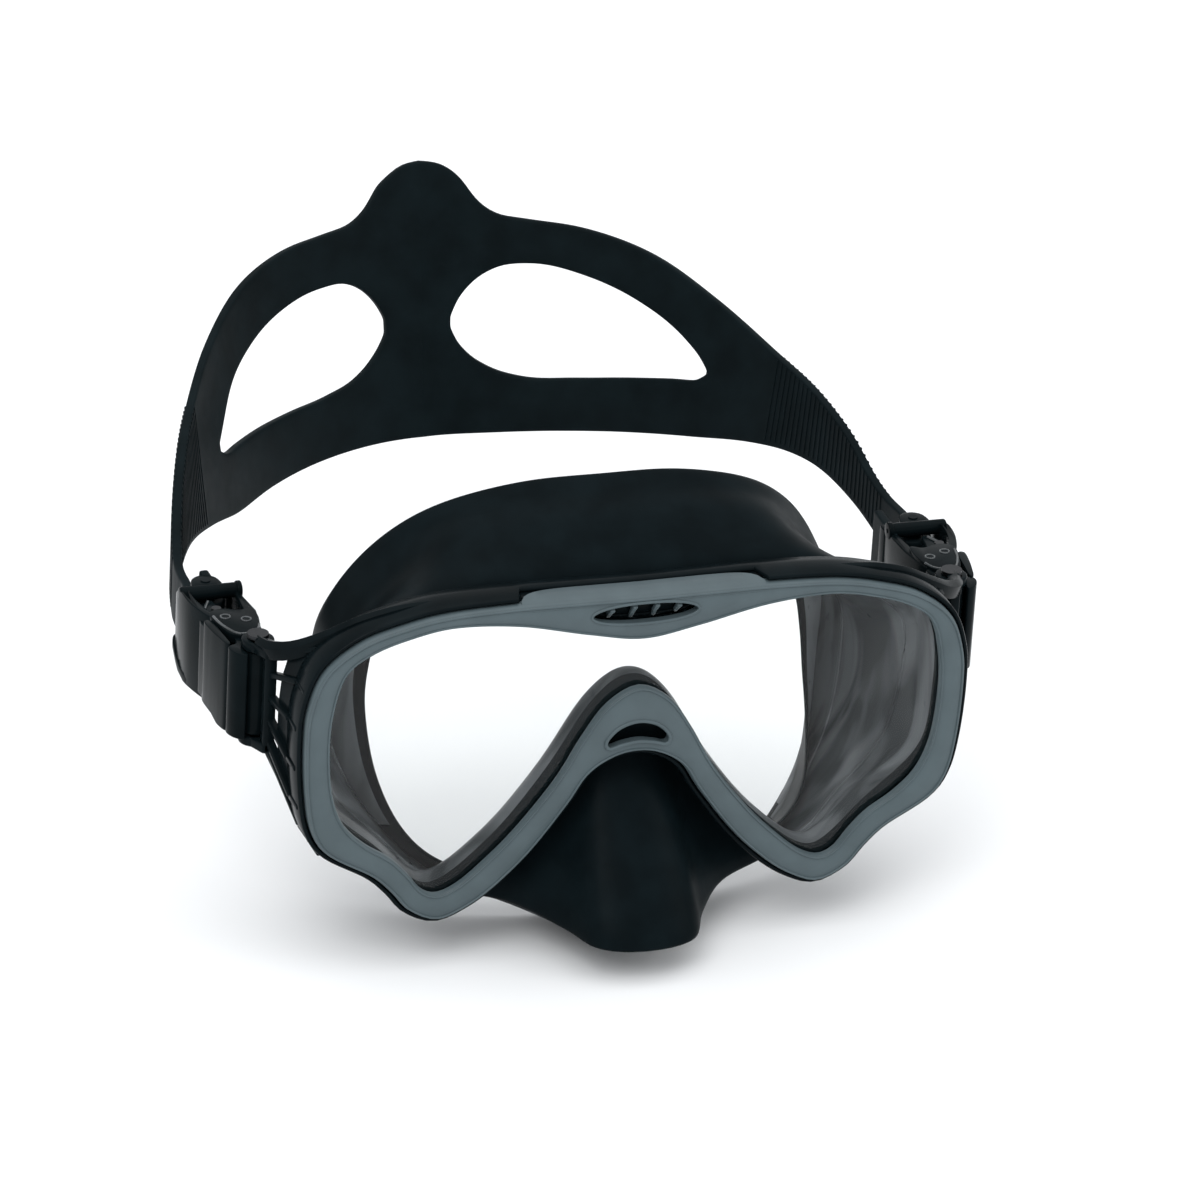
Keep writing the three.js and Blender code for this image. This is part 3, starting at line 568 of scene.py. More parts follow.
def subdivide(obj):
    """Adds one level of smooth subdivision."""
    modifier = obj.modifiers.new("smooth", "SUBSURF")
    modifier.levels = 1
    modifier.render_levels = 1
    return obj


# ---------- materials ----------

CLOUD_DETAIL = 3
FINE_DETAIL = 2
GLOSS_TO_BLOTCH = 3.1
ROUGH_SPREAD = 0.06
GRAIN_STRENGTH = 0.5
LENS_TINT = (0.985, 0.992, 0.99)
LENS_ROUGHNESS = 0.02
LENS_IOR = 1.36
# Patches of painted light on the skirt's inner wall: noise scale, distortion, stretch, turn and ramp span.
LIGHT_PATCH_SCALE = 42
LIGHT_PATCH_DISTORTION = 1.4
LIGHT_PATCH_STRETCH = (1, 1.6, 0.45)
LIGHT_PATCH_TURN = (0.5, 0, 0)
LIGHT_PATCH_SPAN = (0.42, 0.62)


def noise(nodes, links, scale, detail, name):
    """Soft noise over the object's own coordinates, in metres."""
    coordinates = nodes.new("ShaderNodeTexCoord")
    texture = nodes.new("ShaderNodeTexNoise")
    texture.name = name
    texture.inputs["Scale"].default_value = scale
    texture.inputs["Detail"].default_value = detail
    links.new(coordinates.outputs["Object"], texture.inputs["Vector"])
    return texture


def ramp(nodes, links, source, low, high, span=(0.35, 0.65)):
    """Colours from a texture's darker to its lighter parts."""
    node = nodes.new("ShaderNodeValToRGB")
    node.color_ramp.elements[0].position = span[0]
    node.color_ramp.elements[1].position = span[1]
    node.color_ramp.elements[0].color = (*low, 1)
    node.color_ramp.elements[1].color = (*high, 1)
    links.new(source, node.inputs["Fac"])
    return node


def moulded(name, colour, rough, spread=0.2, grain=2600, grain_depth=0.00002, blotch=90, specular=0.5):
    """A moulded plastic or rubber: a cloudy colour, a fine grain and patches of gloss."""
    material = bpy.data.materials.new(name)
    material.use_nodes = True
    nodes, links = material.node_tree.nodes, material.node_tree.links
    shader = nodes["Principled BSDF"]
    shader.inputs["Specular IOR Level"].default_value = specular
    cloud = noise(nodes, links, blotch, CLOUD_DETAIL, "cloud")
    dark = [value * (1 - spread) for value in colour]
    light = [value * (1 + spread) for value in colour]
    patches = ramp(nodes, links, cloud.outputs["Fac"], dark, light)
    links.new(patches.outputs["Color"], shader.inputs["Base Color"])
    gloss = noise(nodes, links, blotch * GLOSS_TO_BLOTCH, FINE_DETAIL, "gloss")
    wear = nodes.new("ShaderNodeMapRange")
    wear.inputs["To Min"].default_value = rough - ROUGH_SPREAD
    wear.inputs["To Max"].default_value = rough + ROUGH_SPREAD
    links.new(gloss.outputs["Fac"], wear.inputs["Value"])
    links.new(wear.outputs["Result"], shader.inputs["Roughness"])
    fine = noise(nodes, links, grain, FINE_DETAIL, "grain")
    bump = nodes.new("ShaderNodeBump")
    bump.inputs["Strength"].default_value = GRAIN_STRENGTH
    bump.inputs["Distance"].default_value = grain_depth
    links.new(fine.outputs["Fac"], bump.inputs["Height"])
    links.new(bump.outputs["Normal"], shader.inputs["Normal"])
    return material


def clear_glass():
    """Thin tempered glass: clear head on, with a faint mirror that grows towards the edge of sight.

    Only the side that light enters reflects, because a thin flat sheet has no inner mirror of its own.
    """
    material = bpy.data.materials.new("clear_lens")
    material.use_nodes = True
    nodes, links = material.node_tree.nodes, material.node_tree.links
    nodes.remove(nodes["Principled BSDF"])
    clear = nodes.new("ShaderNodeBsdfTransparent")
    clear.inputs["Color"].default_value = (*LENS_TINT, 1)
    mirror = nodes.new("ShaderNodeBsdfGlossy")
    mirror.inputs["Roughness"].default_value = LENS_ROUGHNESS
    fresnel = nodes.new("ShaderNodeFresnel")
    fresnel.inputs["IOR"].default_value = LENS_IOR
    surface = nodes.new("ShaderNodeNewGeometry")
    entering = nodes.new("ShaderNodeMath")
    entering.operation = "SUBTRACT"
    entering.inputs[0].default_value = 1
    share = nodes.new("ShaderNodeMath")
    share.operation = "MULTIPLY"
    mix = nodes.new("ShaderNodeMixShader")
    links.new(surface.outputs["Backfacing"], entering.inputs[1])
    links.new(fresnel.outputs["Fac"], share.inputs[0])
    links.new(entering.outputs["Value"], share.inputs[1])
    links.new(share.outputs["Value"], mix.inputs["Fac"])
    links.new(clear.outputs["BSDF"], mix.inputs[1])
    links.new(mirror.outputs["BSDF"], mix.inputs[2])
    links.new(mix.outputs["Shader"], nodes["Material Output"].inputs["Surface"])
    return material


def wall_with_painted_light(name, dark, light):
    """The skirt's inner wall: thin smoky silicone, painted lighter, with soft fold-like patches of painted
    light from outside.
    """
    material = moulded(name, dark, 0.3, specular=0.12, grain=700, grain_depth=0.000001)
    nodes, links = material.node_tree.nodes, material.node_tree.links
    coordinates = nodes.new("ShaderNodeTexCoord")
    stretch = nodes.new("ShaderNodeMapping")
    stretch.inputs["Scale"].default_value = LIGHT_PATCH_STRETCH
    stretch.inputs["Rotation"].default_value = LIGHT_PATCH_TURN
    light_noise = nodes.new("ShaderNodeTexNoise")
    light_noise.name = "light_noise"
    light_noise.inputs["Scale"].default_value = LIGHT_PATCH_SCALE
    light_noise.inputs["Detail"].default_value = FINE_DETAIL
    light_noise.inputs["Distortion"].default_value = LIGHT_PATCH_DISTORTION
    links.new(coordinates.outputs["Object"], stretch.inputs["Vector"])
    links.new(stretch.outputs["Vector"], light_noise.inputs["Vector"])
    patches = ramp(nodes, links, light_noise.outputs["Fac"], dark, light, LIGHT_PATCH_SPAN)
    links.new(patches.outputs["Color"], nodes["Principled BSDF"].inputs["Base Color"])
    return material


def steel():
    """Blackened steel for the pins and springs."""
    material = moulded("pin_steel", (0.036, 0.038, 0.041), 0.4, spread=0.05, blotch=400, grain=5000)
    material.node_tree.nodes["Principled BSDF"].inputs["Metallic"].default_value = 1.0
    return material


GREY = moulded("grey_plastic", (0.064, 0.087, 0.096), 0.4, spread=0.06, blotch=120, specular=0.24)
BLACK = moulded("black_plastic", (0.0034, 0.0060, 0.0072), 0.22, specular=0.035)
BUCKLE = moulded("buckle_plastic", (0.0030, 0.0054, 0.0064), 0.16, specular=0.028)
LEVER_BLACK = moulded("lever_plastic", (0.0032, 0.0058, 0.0068), 0.18, specular=0.045)
# Glossy and lighter than the buckle's black: a painted highlight for the rods along its edges.
EDGE_HIGHLIGHT = moulded("painted_edge_highlight", (0.040, 0.046, 0.049), 0.12, spread=0.3, specular=0.6, blotch=300)
SKIRT_RUBBER = moulded("skirt_silicone", (0.0032, 0.0060, 0.0073), 0.38, specular=0.02, grain=1800)
# The inner wall's grey, far lighter than the rubber outside, and its patches are painted light.
SKIRT_INSIDE_PAINTED_LIGHT = wall_with_painted_light("skirt_inside_painted_light", (0.030, 0.035, 0.039), (0.125, 0.135, 0.144))
# A band much lighter than the wall: painted light where the lamps fall on the inner wall.
SKIRT_PAINTED_LIT_BAND = wall_with_painted_light("skirt_painted_lit_band", (0.28, 0.30, 0.315), (0.44, 0.47, 0.495))
STRAP_RUBBER = moulded("strap_silicone", (0.0036, 0.0070, 0.0084), 0.5, specular=0.035, grain=1500)
STEEL = steel()
GLASS = clear_glass()


def paint(obj, material):
    """Gives an object one material and hands it back."""
    obj.data.materials.clear()
    obj.data.materials.append(material)
    return obj


# ---------- bezel, bridge and frame ----------

rim = smooth_curve(both_halves(RIM, flipped=(0, 2)), RIM_COLUMNS, True)
window, edge = rim[:, :2], rim[:, 2:]
window_out, edge_out = outward(window), outward(edge)


def from_window(distance, y):
    """A loop at a distance out from the window's edge."""
    return [(x, y, z) for x, z in window + window_out * distance]


def from_edge(distance, y):
    """A loop at a distance out from the bezel's outer edge."""
    return [(x, y, z) for x, z in edge + edge_out * distance]


def between(share, y):
    """A loop at a share of the way from the window's edge to the bezel's outer edge."""
    return [(x, y, z) for x, z in window + (edge - window) * share]


def crescent(grow=0.0):
    """The outline of the slot in the nose arch."""
    loop = smooth_curve(SLOT_TOP + SLOT_FOOT, 60, True)
    return loop + outward(loop) * grow


def oval(grow=0.0):
    """The outline of the bridge's vent."""
    angles = -np.linspace(0, 2 * math.pi, 72, endpoint=False)
    across = (VENT_HALF[0] + grow) * np.sign(np.cos(angles)) * np.abs(np.cos(angles)) ** VENT_SQUARENESS
    up = (VENT_HALF[1] + grow) * np.sin(angles)
    return np.stack([VENT_CENTRE[0] + across, VENT_CENTRE[1] + up], axis=1)


def add_saddle(bm):
    """The bridge's upper face, which slopes back from a crease over the frame's top."""
    rings = []
    top_edge = list(zip(*[row[2:] for row in RIM[:3]]))
    for x in np.linspace(-SADDLE_HALF, SADDLE_HALF, SADDLE_COLUMNS):
        top = np.interp(abs(x), *top_edge)
        round_end = math.sqrt(max(0.02, 1 - abs(x / SADDLE_HALF) ** SADDLE_END_POWER))
        back = SADDLE_BACK * round_end
        rise = top + SADDLE_RISE * (back + 1.5) / (SADDLE_BACK + 1.5)
        rings.append([
            (x, BEZEL_FRONT - 0.12, top - SADDLE_CREASE), (x, BEZEL_FRONT + 0.25, top - SADDLE_CREASE + 0.5),
            (x, FRAME_FRONT, top + 0.15), (x, back - 0.5, rise), (x, back, rise - 0.35), (x, back, top - 0.9),
            (x, 0, top - 1.1), (x, BEZEL_FRONT + 0.6, top - SADDLE_CREASE - 0.4),
        ])
    add_loft(bm, rings, 0)


def front_bezel():
    """The grey ring round the lens, with its bridge, vent, slot and fine edge beads."""
    bm = bmesh.new()
    add_grid(bm, [
        from_window(0, LENS_LIP), from_window(0, -1.5), from_window(0.22, BEZEL_FRONT + 0.35),
        from_window(0.7, BEZEL_FRONT), between(0.5, BEZEL_FRONT - BEZEL_CROWN), from_edge(-0.9, BEZEL_FRONT),
        from_edge(-0.3, BEZEL_FRONT + 0.4), from_edge(0, -1.2), from_edge(0, BEZEL_BACK),
        from_edge(-0.6, BEZEL_BACK), from_edge(-0.8, LENS_LIP),
    ], True, True)
    obj = object_from("front_bezel_shell", bm)
    for outline in (oval(), crescent()):
        cutter = bmesh.new()
        add_plate(cutter, outline, -BEZEL_CUT, BEZEL_CUT)
        cut_away(obj, cutter)
    extra = bmesh.new()
    extra.from_mesh(obj.data)
    bmesh.ops.scale(extra, vec=(1 / MM,) * 3, verts=extra.verts)
    add_saddle(extra)
    add_bead(extra, oval(0.25), BEZEL_FRONT - 0.12, 0.4)
    add_bead(extra, crescent(0.3), BEZEL_FRONT - 0.2, 0.5)
    add_bead(extra, edge - edge_out * 0.6, BEZEL_FRONT + 0.02, 0.3)
    add_bead(extra, window + window_out * 0.5, BEZEL_FRONT + 0.02, 0.28)
    bpy.data.objects.remove(obj)
    return paint(shade(object_from("front_bezel_shell", extra), 50), GREY)


def bridge_grille():
    """The dark dish behind the vent."""
    bm = bmesh.new()
    add_plate(bm, oval(-0.35), 1.2, 2.0)
    add_bead(bm, oval(-0.7), 1.0, 0.35)
    return paint(shade(object_from("vent_grille", bm)), BLACK)


def vent_ribs():
    """The vent's upright ribs, whose heads lean out to the front."""
    bm = bmesh.new()
    for x in VENT_RIBS:
        reach = VENT_HALF[1] * math.sqrt(1 - (x / VENT_HALF[0]) ** 2) - VENT_RIB_CLEARANCE
        foot = (x, 0.9, VENT_CENTRE[1] - reach)
        knee = (x, -0.5, VENT_CENTRE[1])
        head = (x + VENT_RIB_LEAN, -1.9, VENT_CENTRE[1] + reach)
        add_bar(bm, foot, knee, (1, 0, 0), (0.9, 1.0), (1.0, 1.3), 0.2)
        add_bar(bm, knee, head, (1, 0, 0), (1.0, 1.3), (1.2, 1.5), 0.3)
    return paint(shade(object_from("vent_ribs", bm)), GREY)


def frame_side(z):
    """How far out the frame's side wall is at a height."""
    right_edge = [(edge_z, edge_x) for _, _, edge_x, edge_z in RIM if edge_x > RIM_SIDE_FROM]
    return float(np.interp(z, *zip(*sorted(right_edge)))) + FRAME_RIM


def add_arm(bm, side):
    """One open arm: ribs that fan from the frame to an upright bar, a web across them and two hinge lugs."""
    shape = bmesh.new()
    bar_x, bar_y = ARM_BAR
    web = []
    for root_z, tip_z in ARM_RIBS:
        front = Vector((frame_side(root_z) - 0.2, ARM_RIB_ROOT[0], root_z))
        root = Vector((frame_side(root_z) - 0.1, ARM_RIB_ROOT[1], root_z))
        tip = Vector((bar_x - 0.2, bar_y, tip_z))
        add_bar(shape, front, root, (1, 0, 0), (1.6, 1.3), (1.9, 1.5))
        add_bar(shape, root, tip, (1, 0, 0), (2.2, 1.5), (2.2, 1.5))
        end = root.lerp(tip, ARM_WEB) + Vector((-0.7, 0, 0))
        start = front.lerp(root, 0.5) + Vector((-1.2, 0, 0))
        half = Vector((ARM_WEB_HALF, 0, 0))
        web.append([start - half, start + half, end + half, end - half])
    add_grid(shape, web, False, True, cap=True)
    foot, head = BUCKLE_MID - ARM_BAR_HALF, BUCKLE_MID + ARM_BAR_HALF
    add_bar(shape, (bar_x, bar_y, foot), (bar_x, bar_y, head), (1, 0, 0), ARM_BAR_SIZE, ARM_BAR_SIZE, 0.6)
    size_x, half_heights, half_depths = zip(*ARM_SWEEP_SIZE)
    rings = []
    for x, y, z in smooth_curve(ARM_SWEEP, 24, False):
        tall = np.interp(x, size_x, half_heights)
        deep = np.interp(x, size_x, half_depths)
        rings.append([
            (x - deep, y, z - tall), (x + deep * 0.4, y - deep, z - tall),
            (x + deep, y - deep, z + tall * 0.4), (x + deep * 0.3, y, z + tall),
            (x - deep, y + deep, z + tall * 0.6),
        ])
    add_loft(shape, rings, 0.3, sharp=35)
    for low, high in ((foot, foot + LUG_HEIGHT), (head - LUG_HEIGHT, head)):
        add_rod(shape, (*HINGE, low), (*HINGE, high), LUG_RADIUS, 0.5)
        add_prism(shape, LUG, low, high, 0.4)
    bmesh.ops.scale(shape, vec=(side, 1, 1), verts=shape.verts)
    pour(shape, bm)


def main_frame():
    """The black frame that clamps lens, bezel and skirt, with its two open arms."""
    bm = bmesh.new()
    under_saddle = np.abs(edge[:, 0]) < SADDLE_HALF + 0.6
    front = np.where(under_saddle & (edge[:, 1] > 0), SADDLE_BACK + 0.35, FRAME_FRONT)

    def fronted(distance, back_by):
        """A loop at the frame's front, which steps back under the bridge."""
        points = edge + edge_out * distance
        return [(x, y + back_by, z) for (x, z), y in zip(points, front)]

    add_grid(bm, [
        fronted(0.75, 0), fronted(1.25, 0.15), fronted(FRAME_RIM, 0.6), from_edge(FRAME_RIM + 0.1, 6),
        from_edge(FRAME_RIM, FRAME_BACK - 0.6), from_edge(FRAME_RIM - 0.5, FRAME_BACK),
        from_window(LIP_REACH + 0.2, FRAME_BACK), from_window(LIP_REACH, FRAME_BACK - 0.3),
        from_window(LIP_REACH, FRAME_SEAT + 0.3), from_edge(FRAME_SHADOW_GAP - 0.5, FRAME_SEAT),
        fronted(FRAME_SHADOW_GAP, 0.5), fronted(FRAME_SHADOW_GAP + 0.1, 0.15),
    ], True, True)
    for side in SIDES.values():
        add_arm(bm, side)
    return paint(shade(object_from("frame_shell", bm), 50), BLACK)


# ---------- skirt ----------


def skirt_rows():
    """The skirt's outside, as rows of points from its seat behind the lens to its feathered edge."""
    first_nose = len(SKIRT_WAIST) - len(NOSE_UNDERSIDE)
    shoulder = []
    for station, (waist, outer) in enumerate(zip(SKIRT_WAIST, SKIRT_RIM)):
        if station < first_nose:
            shoulder.append([a + (b - a) * SHOULDER for a, b in zip(waist, outer)])
        else:
            shoulder.append(NOSE_UNDERSIDE[station - first_nose])
    seat = np.array(both_halves(SKIRT_SEAT), float)
    loops = []
    for reach, y in ((SEAT_FLANGE, SEAT_Y), (SEAT_STEP, FRAME_BACK + 0.3)):
        loop = seat + outward(seat) * reach
        loops.append(station_curve(np.insert(loop, 1, y, axis=1), SKIRT_COLUMNS))
    for row in (SKIRT_THROAT, SKIRT_WAIST, shoulder, SKIRT_RIM, SKIRT_OPENING):
        loops.append(station_curve(np.array(both_halves(row), float), SKIRT_COLUMNS))
    rows = []
    for column in range(SKIRT_COLUMNS):
        track = np.array([loop[column] for loop in loops])
        rows.append(open_track(track, ROWS_PER_STEP))
    return np.array(rows).transpose(1, 0, 2)


def grid_normals(grid):
    """Unit normals of a grid of rows that close on themselves."""
    along = np.gradient(grid, axis=0)
    around = np.roll(grid, -1, axis=1) - np.roll(grid, 1, axis=1)
    normals = np.cross(along, around)
    return normals / np.maximum(np.linalg.norm(normals, axis=2, keepdims=True), 1e-9)


def skirt_walls():
    """The skirt's outer and inner skins. The wall thins towards its feathered edge."""
    outer = skirt_rows()
    inward = grid_normals(outer)
    to_centre = np.array(SKIRT_CENTRE) - outer[WALL_ROWS]
    if np.einsum("rci,rci->rc", inward[WALL_ROWS], to_centre).mean() < 0:
        inward = -inward
    share = np.linspace(0, 1, len(outer))[:, None, None]
    thinning = np.clip((share - THIN_FROM) / (1 - THIN_FROM), 0, 1)
    thickness = SKIRT_WALL + (SKIRT_EDGE - SKIRT_WALL) * thinning
    return outer, outer + inward * thickness


def skirt():
    """The face skirt with its nose pocket: plain outside, painted lighter inside, with a band of painted
    light by the flange.
    """
    outer, inner = skirt_walls()
    bm = bmesh.new()
    add_grid(bm, np.concatenate([outer, inner[::-1]]).tolist(), True, True)
    obj = object_from("skirt_body", bm)
    paint(shade(obj, 180), SKIRT_RUBBER)
    obj.data.materials.append(SKIRT_INSIDE_PAINTED_LIGHT)
    obj.data.materials.append(SKIRT_PAINTED_LIT_BAND)
    last = len(outer) - SKIRT_SEAT_ROWS
    for index, face in enumerate(obj.data.polygons):
        row = index // SKIRT_COLUMNS - len(outer)
        flange = np.interp(face.center.z / MM, FLANGE_FADE, (FOOT_FLANGE_ROWS, SKIRT_FLANGE_ROWS))
        wall = flange <= row < last
        # The rows next to the flange take the band of painted light.
        in_lit_band = wall and row < SKIRT_FLANGE_ROWS + SKIRT_LIT_BAND_ROWS
        face.material_index = int(wall) + int(in_lit_band)
    return subdivide(obj)


def skirt_ridges():
    """The moulded ridges round the inside, and the thicker edge along the nose pocket's underside with a
    painted highlight.
    """
    outer, inner = skirt_walls()
    bm = bmesh.new()
    for row, radius in SKIRT_RIDGES:
        add_tube(bm, inner[row], radius, True)
    middle = SKIRT_COLUMNS // 2
    stations = 2 * (len(SKIRT_RIM) - 1)
    reach = SKIRT_COLUMNS * NOSE_EDGE_STATIONS // stations
    nose_edge = outer[NOSE_EDGE_ROW, middle - reach:middle + reach + 1]
    add_tube(bm, nose_edge, NOSE_EDGE_RADIUS, False)
    # All take the inside's lighter paint; on the dark outer skin the nose edge becomes a painted highlight
    # line.
    return paint(shade(object_from("skirt_ridges", bm), 180), SKIRT_INSIDE_PAINTED_LIGHT)


# ---------- strap ----------


def strap_path():
    """The strap's plan from the back's middle to the tail of its looped end, evenly spaced."""
    angles = np.linspace(0, math.pi / 2, 200)
    x = STRAP_HALF_WIDTH * np.sin(angles) ** (2 / STRAP_EXPONENT)
    y = STRAP_WIDEST_Y + (STRAP_BACK - STRAP_WIDEST_Y) * np.abs(np.cos(angles)) ** (2 / STRAP_EXPONENT)
    points = [[a, b] for a, b in zip(x, y) if b > STRAP_CURVE_END]
    middle_x, middle_y = ROLLER
    radius = STRAP_LOOP_RADIUS
    points += [[middle_x + radius + offset, b] for offset, b in STRAP_RUN_IN]
    for turn in np.linspace(0, math.pi, 13):
        points.append([middle_x + radius * math.cos(turn), middle_y - radius * math.sin(turn)])
    points += [[middle_x - radius + offset, b] for offset, b in STRAP_TAIL]
    return smooth_curve(points, STRAP_STEPS, False)


def strap_points(path):
    """A function from [distance, height] on the flat strap to a point on its middle surface."""
    steps = np.linalg.norm(np.diff(path, axis=0), axis=1)
    length = np.concatenate([[0], np.cumsum(steps)])
    along = np.gradient(path, axis=0)
    along /= np.linalg.norm(along, axis=1, keepdims=True)
    along[0] = (1, 0)
    out = np.stack([-along[:, 1], along[:, 0]], axis=1)

    def point(distance, z, lift=0.0):
        """The strap leans at the back, and stands upright where it nears the buckle."""
        x, y = (np.interp(distance, length, path[:, axis]) for axis in (0, 1))
        out_x, out_y = (np.interp(distance, length, out[:, axis]) for axis in (0, 1))
        low, high = STRAP_LEAN_FADE
        t = np.clip((distance - low) / (high - low), 0, 1)
        shift = STRAP_LEAN * (1 - t * t * (3 - 2 * t)) * (z - STRAP_LEAN_Z) + lift
        return (x + out_x * shift, y + out_y * shift, z)

    return point, length[-1]


def strap_heights(distance, side_name):
    """Bottom, foot of the opening, head of the opening and top, at a distance along the strap."""
    bottom = height_of(STRAP_BOTTOM[side_name], distance)
    top = height_of(STRAP_TOP, distance)
    foot_line, head_line = OPENING_FOOT[side_name], OPENING_TOP[side_name]
    inside = min(max(distance, foot_line[0][0]), foot_line[-1][0])
    foot, head = height_of(foot_line, inside), height_of(head_line, inside)
    low, high = height_of(STRAP_BOTTOM[side_name], inside), height_of(STRAP_TOP, inside)
    stretch = (top - bottom) / (high - low)
    return bottom, bottom + (foot - low) * stretch, bottom + (head - low) * stretch, top


def strap_columns(first, last, total):
    """Distances of the strap's columns of points, close together round the opening's ends and the loop."""
    near_first = [first + step for step in OPENING_FIRST_STEPS]
    near_last = [last + step for step in OPENING_LAST_STEPS]
    beside_opening = np.arange(first + 9, last - 5.5, STRAP_COLUMN_STEP)
    arm = np.arange(last + 5, LOOP_FROM - STRAP_COLUMN_STEP / 2, STRAP_COLUMN_STEP)
    loop = np.linspace(LOOP_FROM, total, LOOP_COLUMNS)
    return np.concatenate([[0, 2.5, 5], near_first, beside_opening, near_last, arm, loop])


def strap_half(side_name):
    """Half of the strap, from the back's middle through the buckle to its tail."""
    point, total = strap_points(strap_path())
    first, last = OPENING_FOOT[side_name][0][0], OPENING_FOOT[side_name][-1][0]
    distances = strap_columns(first, last, total)
    bm = bmesh.new()
    columns = []
    for distance in distances:
        levels = strap_heights(distance, side_name)
        heights = []
        for low, high, count in zip(levels[:-1], levels[1:], STRAP_BAND_ROWS):
            heights += [low + (high - low) * step / count for step in range(count)]
        columns.append([bm.verts.new(point(distance, z)) for z in heights + [levels[-1]]])
    opening_rows = range(STRAP_BAND_ROWS[0], STRAP_BAND_ROWS[0] + STRAP_BAND_ROWS[1])
    for i in range(len(columns) - 1):
        in_opening = first <= distances[i] and distances[i + 1] <= last
        for row in range(len(columns[0]) - 1):
            if in_opening and row in opening_rows:
                continue
            here, beside = columns[i], columns[i + 1]
            bm.faces.new((here[row], beside[row], beside[row + 1], here[row + 1]))
    bmesh.ops.delete(bm, geom=[v for v in bm.verts if not v.link_faces], context="VERTS")
    obj = object_from(f"strap_band_{side_name}", bm, SIDES[side_name])
    solid = obj.modifiers.new("thickness", "SOLIDIFY")
    solid.thickness = STRAP_THICKNESS * MM
    solid.offset = 0
    bake_modifiers(obj)
    open_seam(obj)
    edges = obj.modifiers.new("edges", "BEVEL")
    edges.width = STRAP_EDGE * MM
    edges.segments = 2
    edges.limit_method = "ANGLE"
    edges.angle_limit = math.radians(50)
    return subdivide(paint(shade(obj, 180), STRAP_RUBBER))


def open_seam(obj):
    """Takes away the end wall on the mid-plane, so that the two halves meet without a groove."""
    bm = bmesh.new()
    bm.from_mesh(obj.data)
    for vert in bm.verts:
        if abs(vert.co.x) < STRAP_SEAM * MM:
            vert.co.x = 0
    seam = [face for face in bm.faces if all(v.co.x == 0 for v in face.verts)]
    bmesh.ops.delete(bm, geom=seam, context="FACES_ONLY")
    bm.to_mesh(obj.data)
    bm.free()


def strap_ribs(side_name):
    """The low cross ribs that the buckle grips, on both faces of the strap."""
    point, _ = strap_points(strap_path())
    bm = bmesh.new()
    for distance in np.arange(*STRAP_RIBS):
        bottom, _, _, top = strap_heights(distance, side_name)
        outside = Vector(point(distance, top, 1)) - Vector(point(distance, top, 0))
        heights = np.linspace(bottom + STRAP_RIB_ENDS[0], top - STRAP_RIB_ENDS[1], 6)
        for face in (-1, 1):
            points = [Vector(point(distance, z, face * STRAP_THICKNESS / 2)) for z in heights]
            for start, end in zip(points[:-1], points[1:]):
                add_bar(bm, start, end, outside, STRAP_RIB_SIZE, STRAP_RIB_SIZE, 0)
    obj = object_from(f"strap_ribs_{side_name}", bm, SIDES[side_name])
    return paint(shade(obj, 60), STRAP_RUBBER)


# ---------- buckles ----------


def buckle(side_name):
    """The buckle's body: a shroud round the hinge, plates and walls, and the bars that the strap passes."""
    bm = bmesh.new()
    low, high = BUCKLE_LOW, BUCKLE_HIGH
    barrel_low, barrel_high = BUCKLE_MID - BARREL_HALF, BUCKLE_MID + BARREL_HALF
    add_rod(bm, (*HINGE, barrel_low), (*HINGE, barrel_high), BARREL_RADIUS, 0.5)
    add_prism(bm, NECK, barrel_low, barrel_high, 0.6)
    add_prism(bm, SHROUD, low + 0.9, high - 0.9, 0.35, smooth=90)
    add_prism(bm, NOSE, low + 0.4, high - 0.8, 0.8)
    add_prism(bm, TOP_PLATE, high - CHEEK, high, 0.55, smooth=90)
    add_prism(bm, UNDER_PLATE, UNDERSIDE, raised(UNDERSIDE, CHEEK), 0.6, smooth=64)
    add_prism(bm, OUTER_WALL, raised(UNDERSIDE, WALL_FOOT), OUTER_WALL_TOP, 0.6, smooth=64)
    add_prism(bm, INNER_WALL, raised(UNDERSIDE, WALL_FOOT), INNER_WALL_TOP, 0.7)
    add_prism(bm, GUARD_BAR, low + 3, high - 3, 0.5)
    add_prism(bm, AXLE_TAB, high - CHEEK, high - 0.6, 0.5, smooth=32)
    for inner_x, outer_x, radius, bevel in TOP_BAR_STEPS:
        add_rod(bm, (inner_x, *TOP_BAR), (outer_x, *TOP_BAR), radius, bevel)
    return paint(shade(object_from(f"buckle_shell_{side_name}", bm, SIDES[side_name])), BUCKLE)


def buckle_highlight_lines(side_name):
    """Painted highlights: lighter glossy rods along the top plate's front edge, the rims of its two dimples
    and the lever's edge.
    """
    bm = bmesh.new()
    add_line(bm, smooth_curve(PLATE_EDGE, 28, False), BUCKLE_HIGH, PLATE_EDGE_RADIUS)
    circle = unit_circle(16)
    for x, y in DIMPLES:
        dimple = [(x + DIMPLE_RADIUS * a, y + DIMPLE_RADIUS * b) for a, b in circle + circle[:1]]
        add_line(bm, dimple, BUCKLE_HIGH, DIMPLE_RIM_RADIUS)
    add_line(bm, smooth_curve(LEVER_EDGE, 16, False), LEVER_EDGE_Z, LEVER_EDGE_RADIUS)
    return paint(shade(object_from(f"buckle_highlight_lines_{side_name}", bm, SIDES[side_name])), EDGE_HIGHLIGHT)


def lever(side_name):
    """The release lever behind the pad, with its finger pad in front."""
    bm = bmesh.new()
    add_prism(bm, LEVER, *LEVER_HEIGHTS, 0.5, smooth=72)
    add_prism(bm, PAD, PAD_LOW, PAD_HIGH, 0.6, smooth=64)
    return paint(shade(object_from(f"lever_cover_{side_name}", bm, SIDES[side_name])), LEVER_BLACK)


# ---------- stage ----------


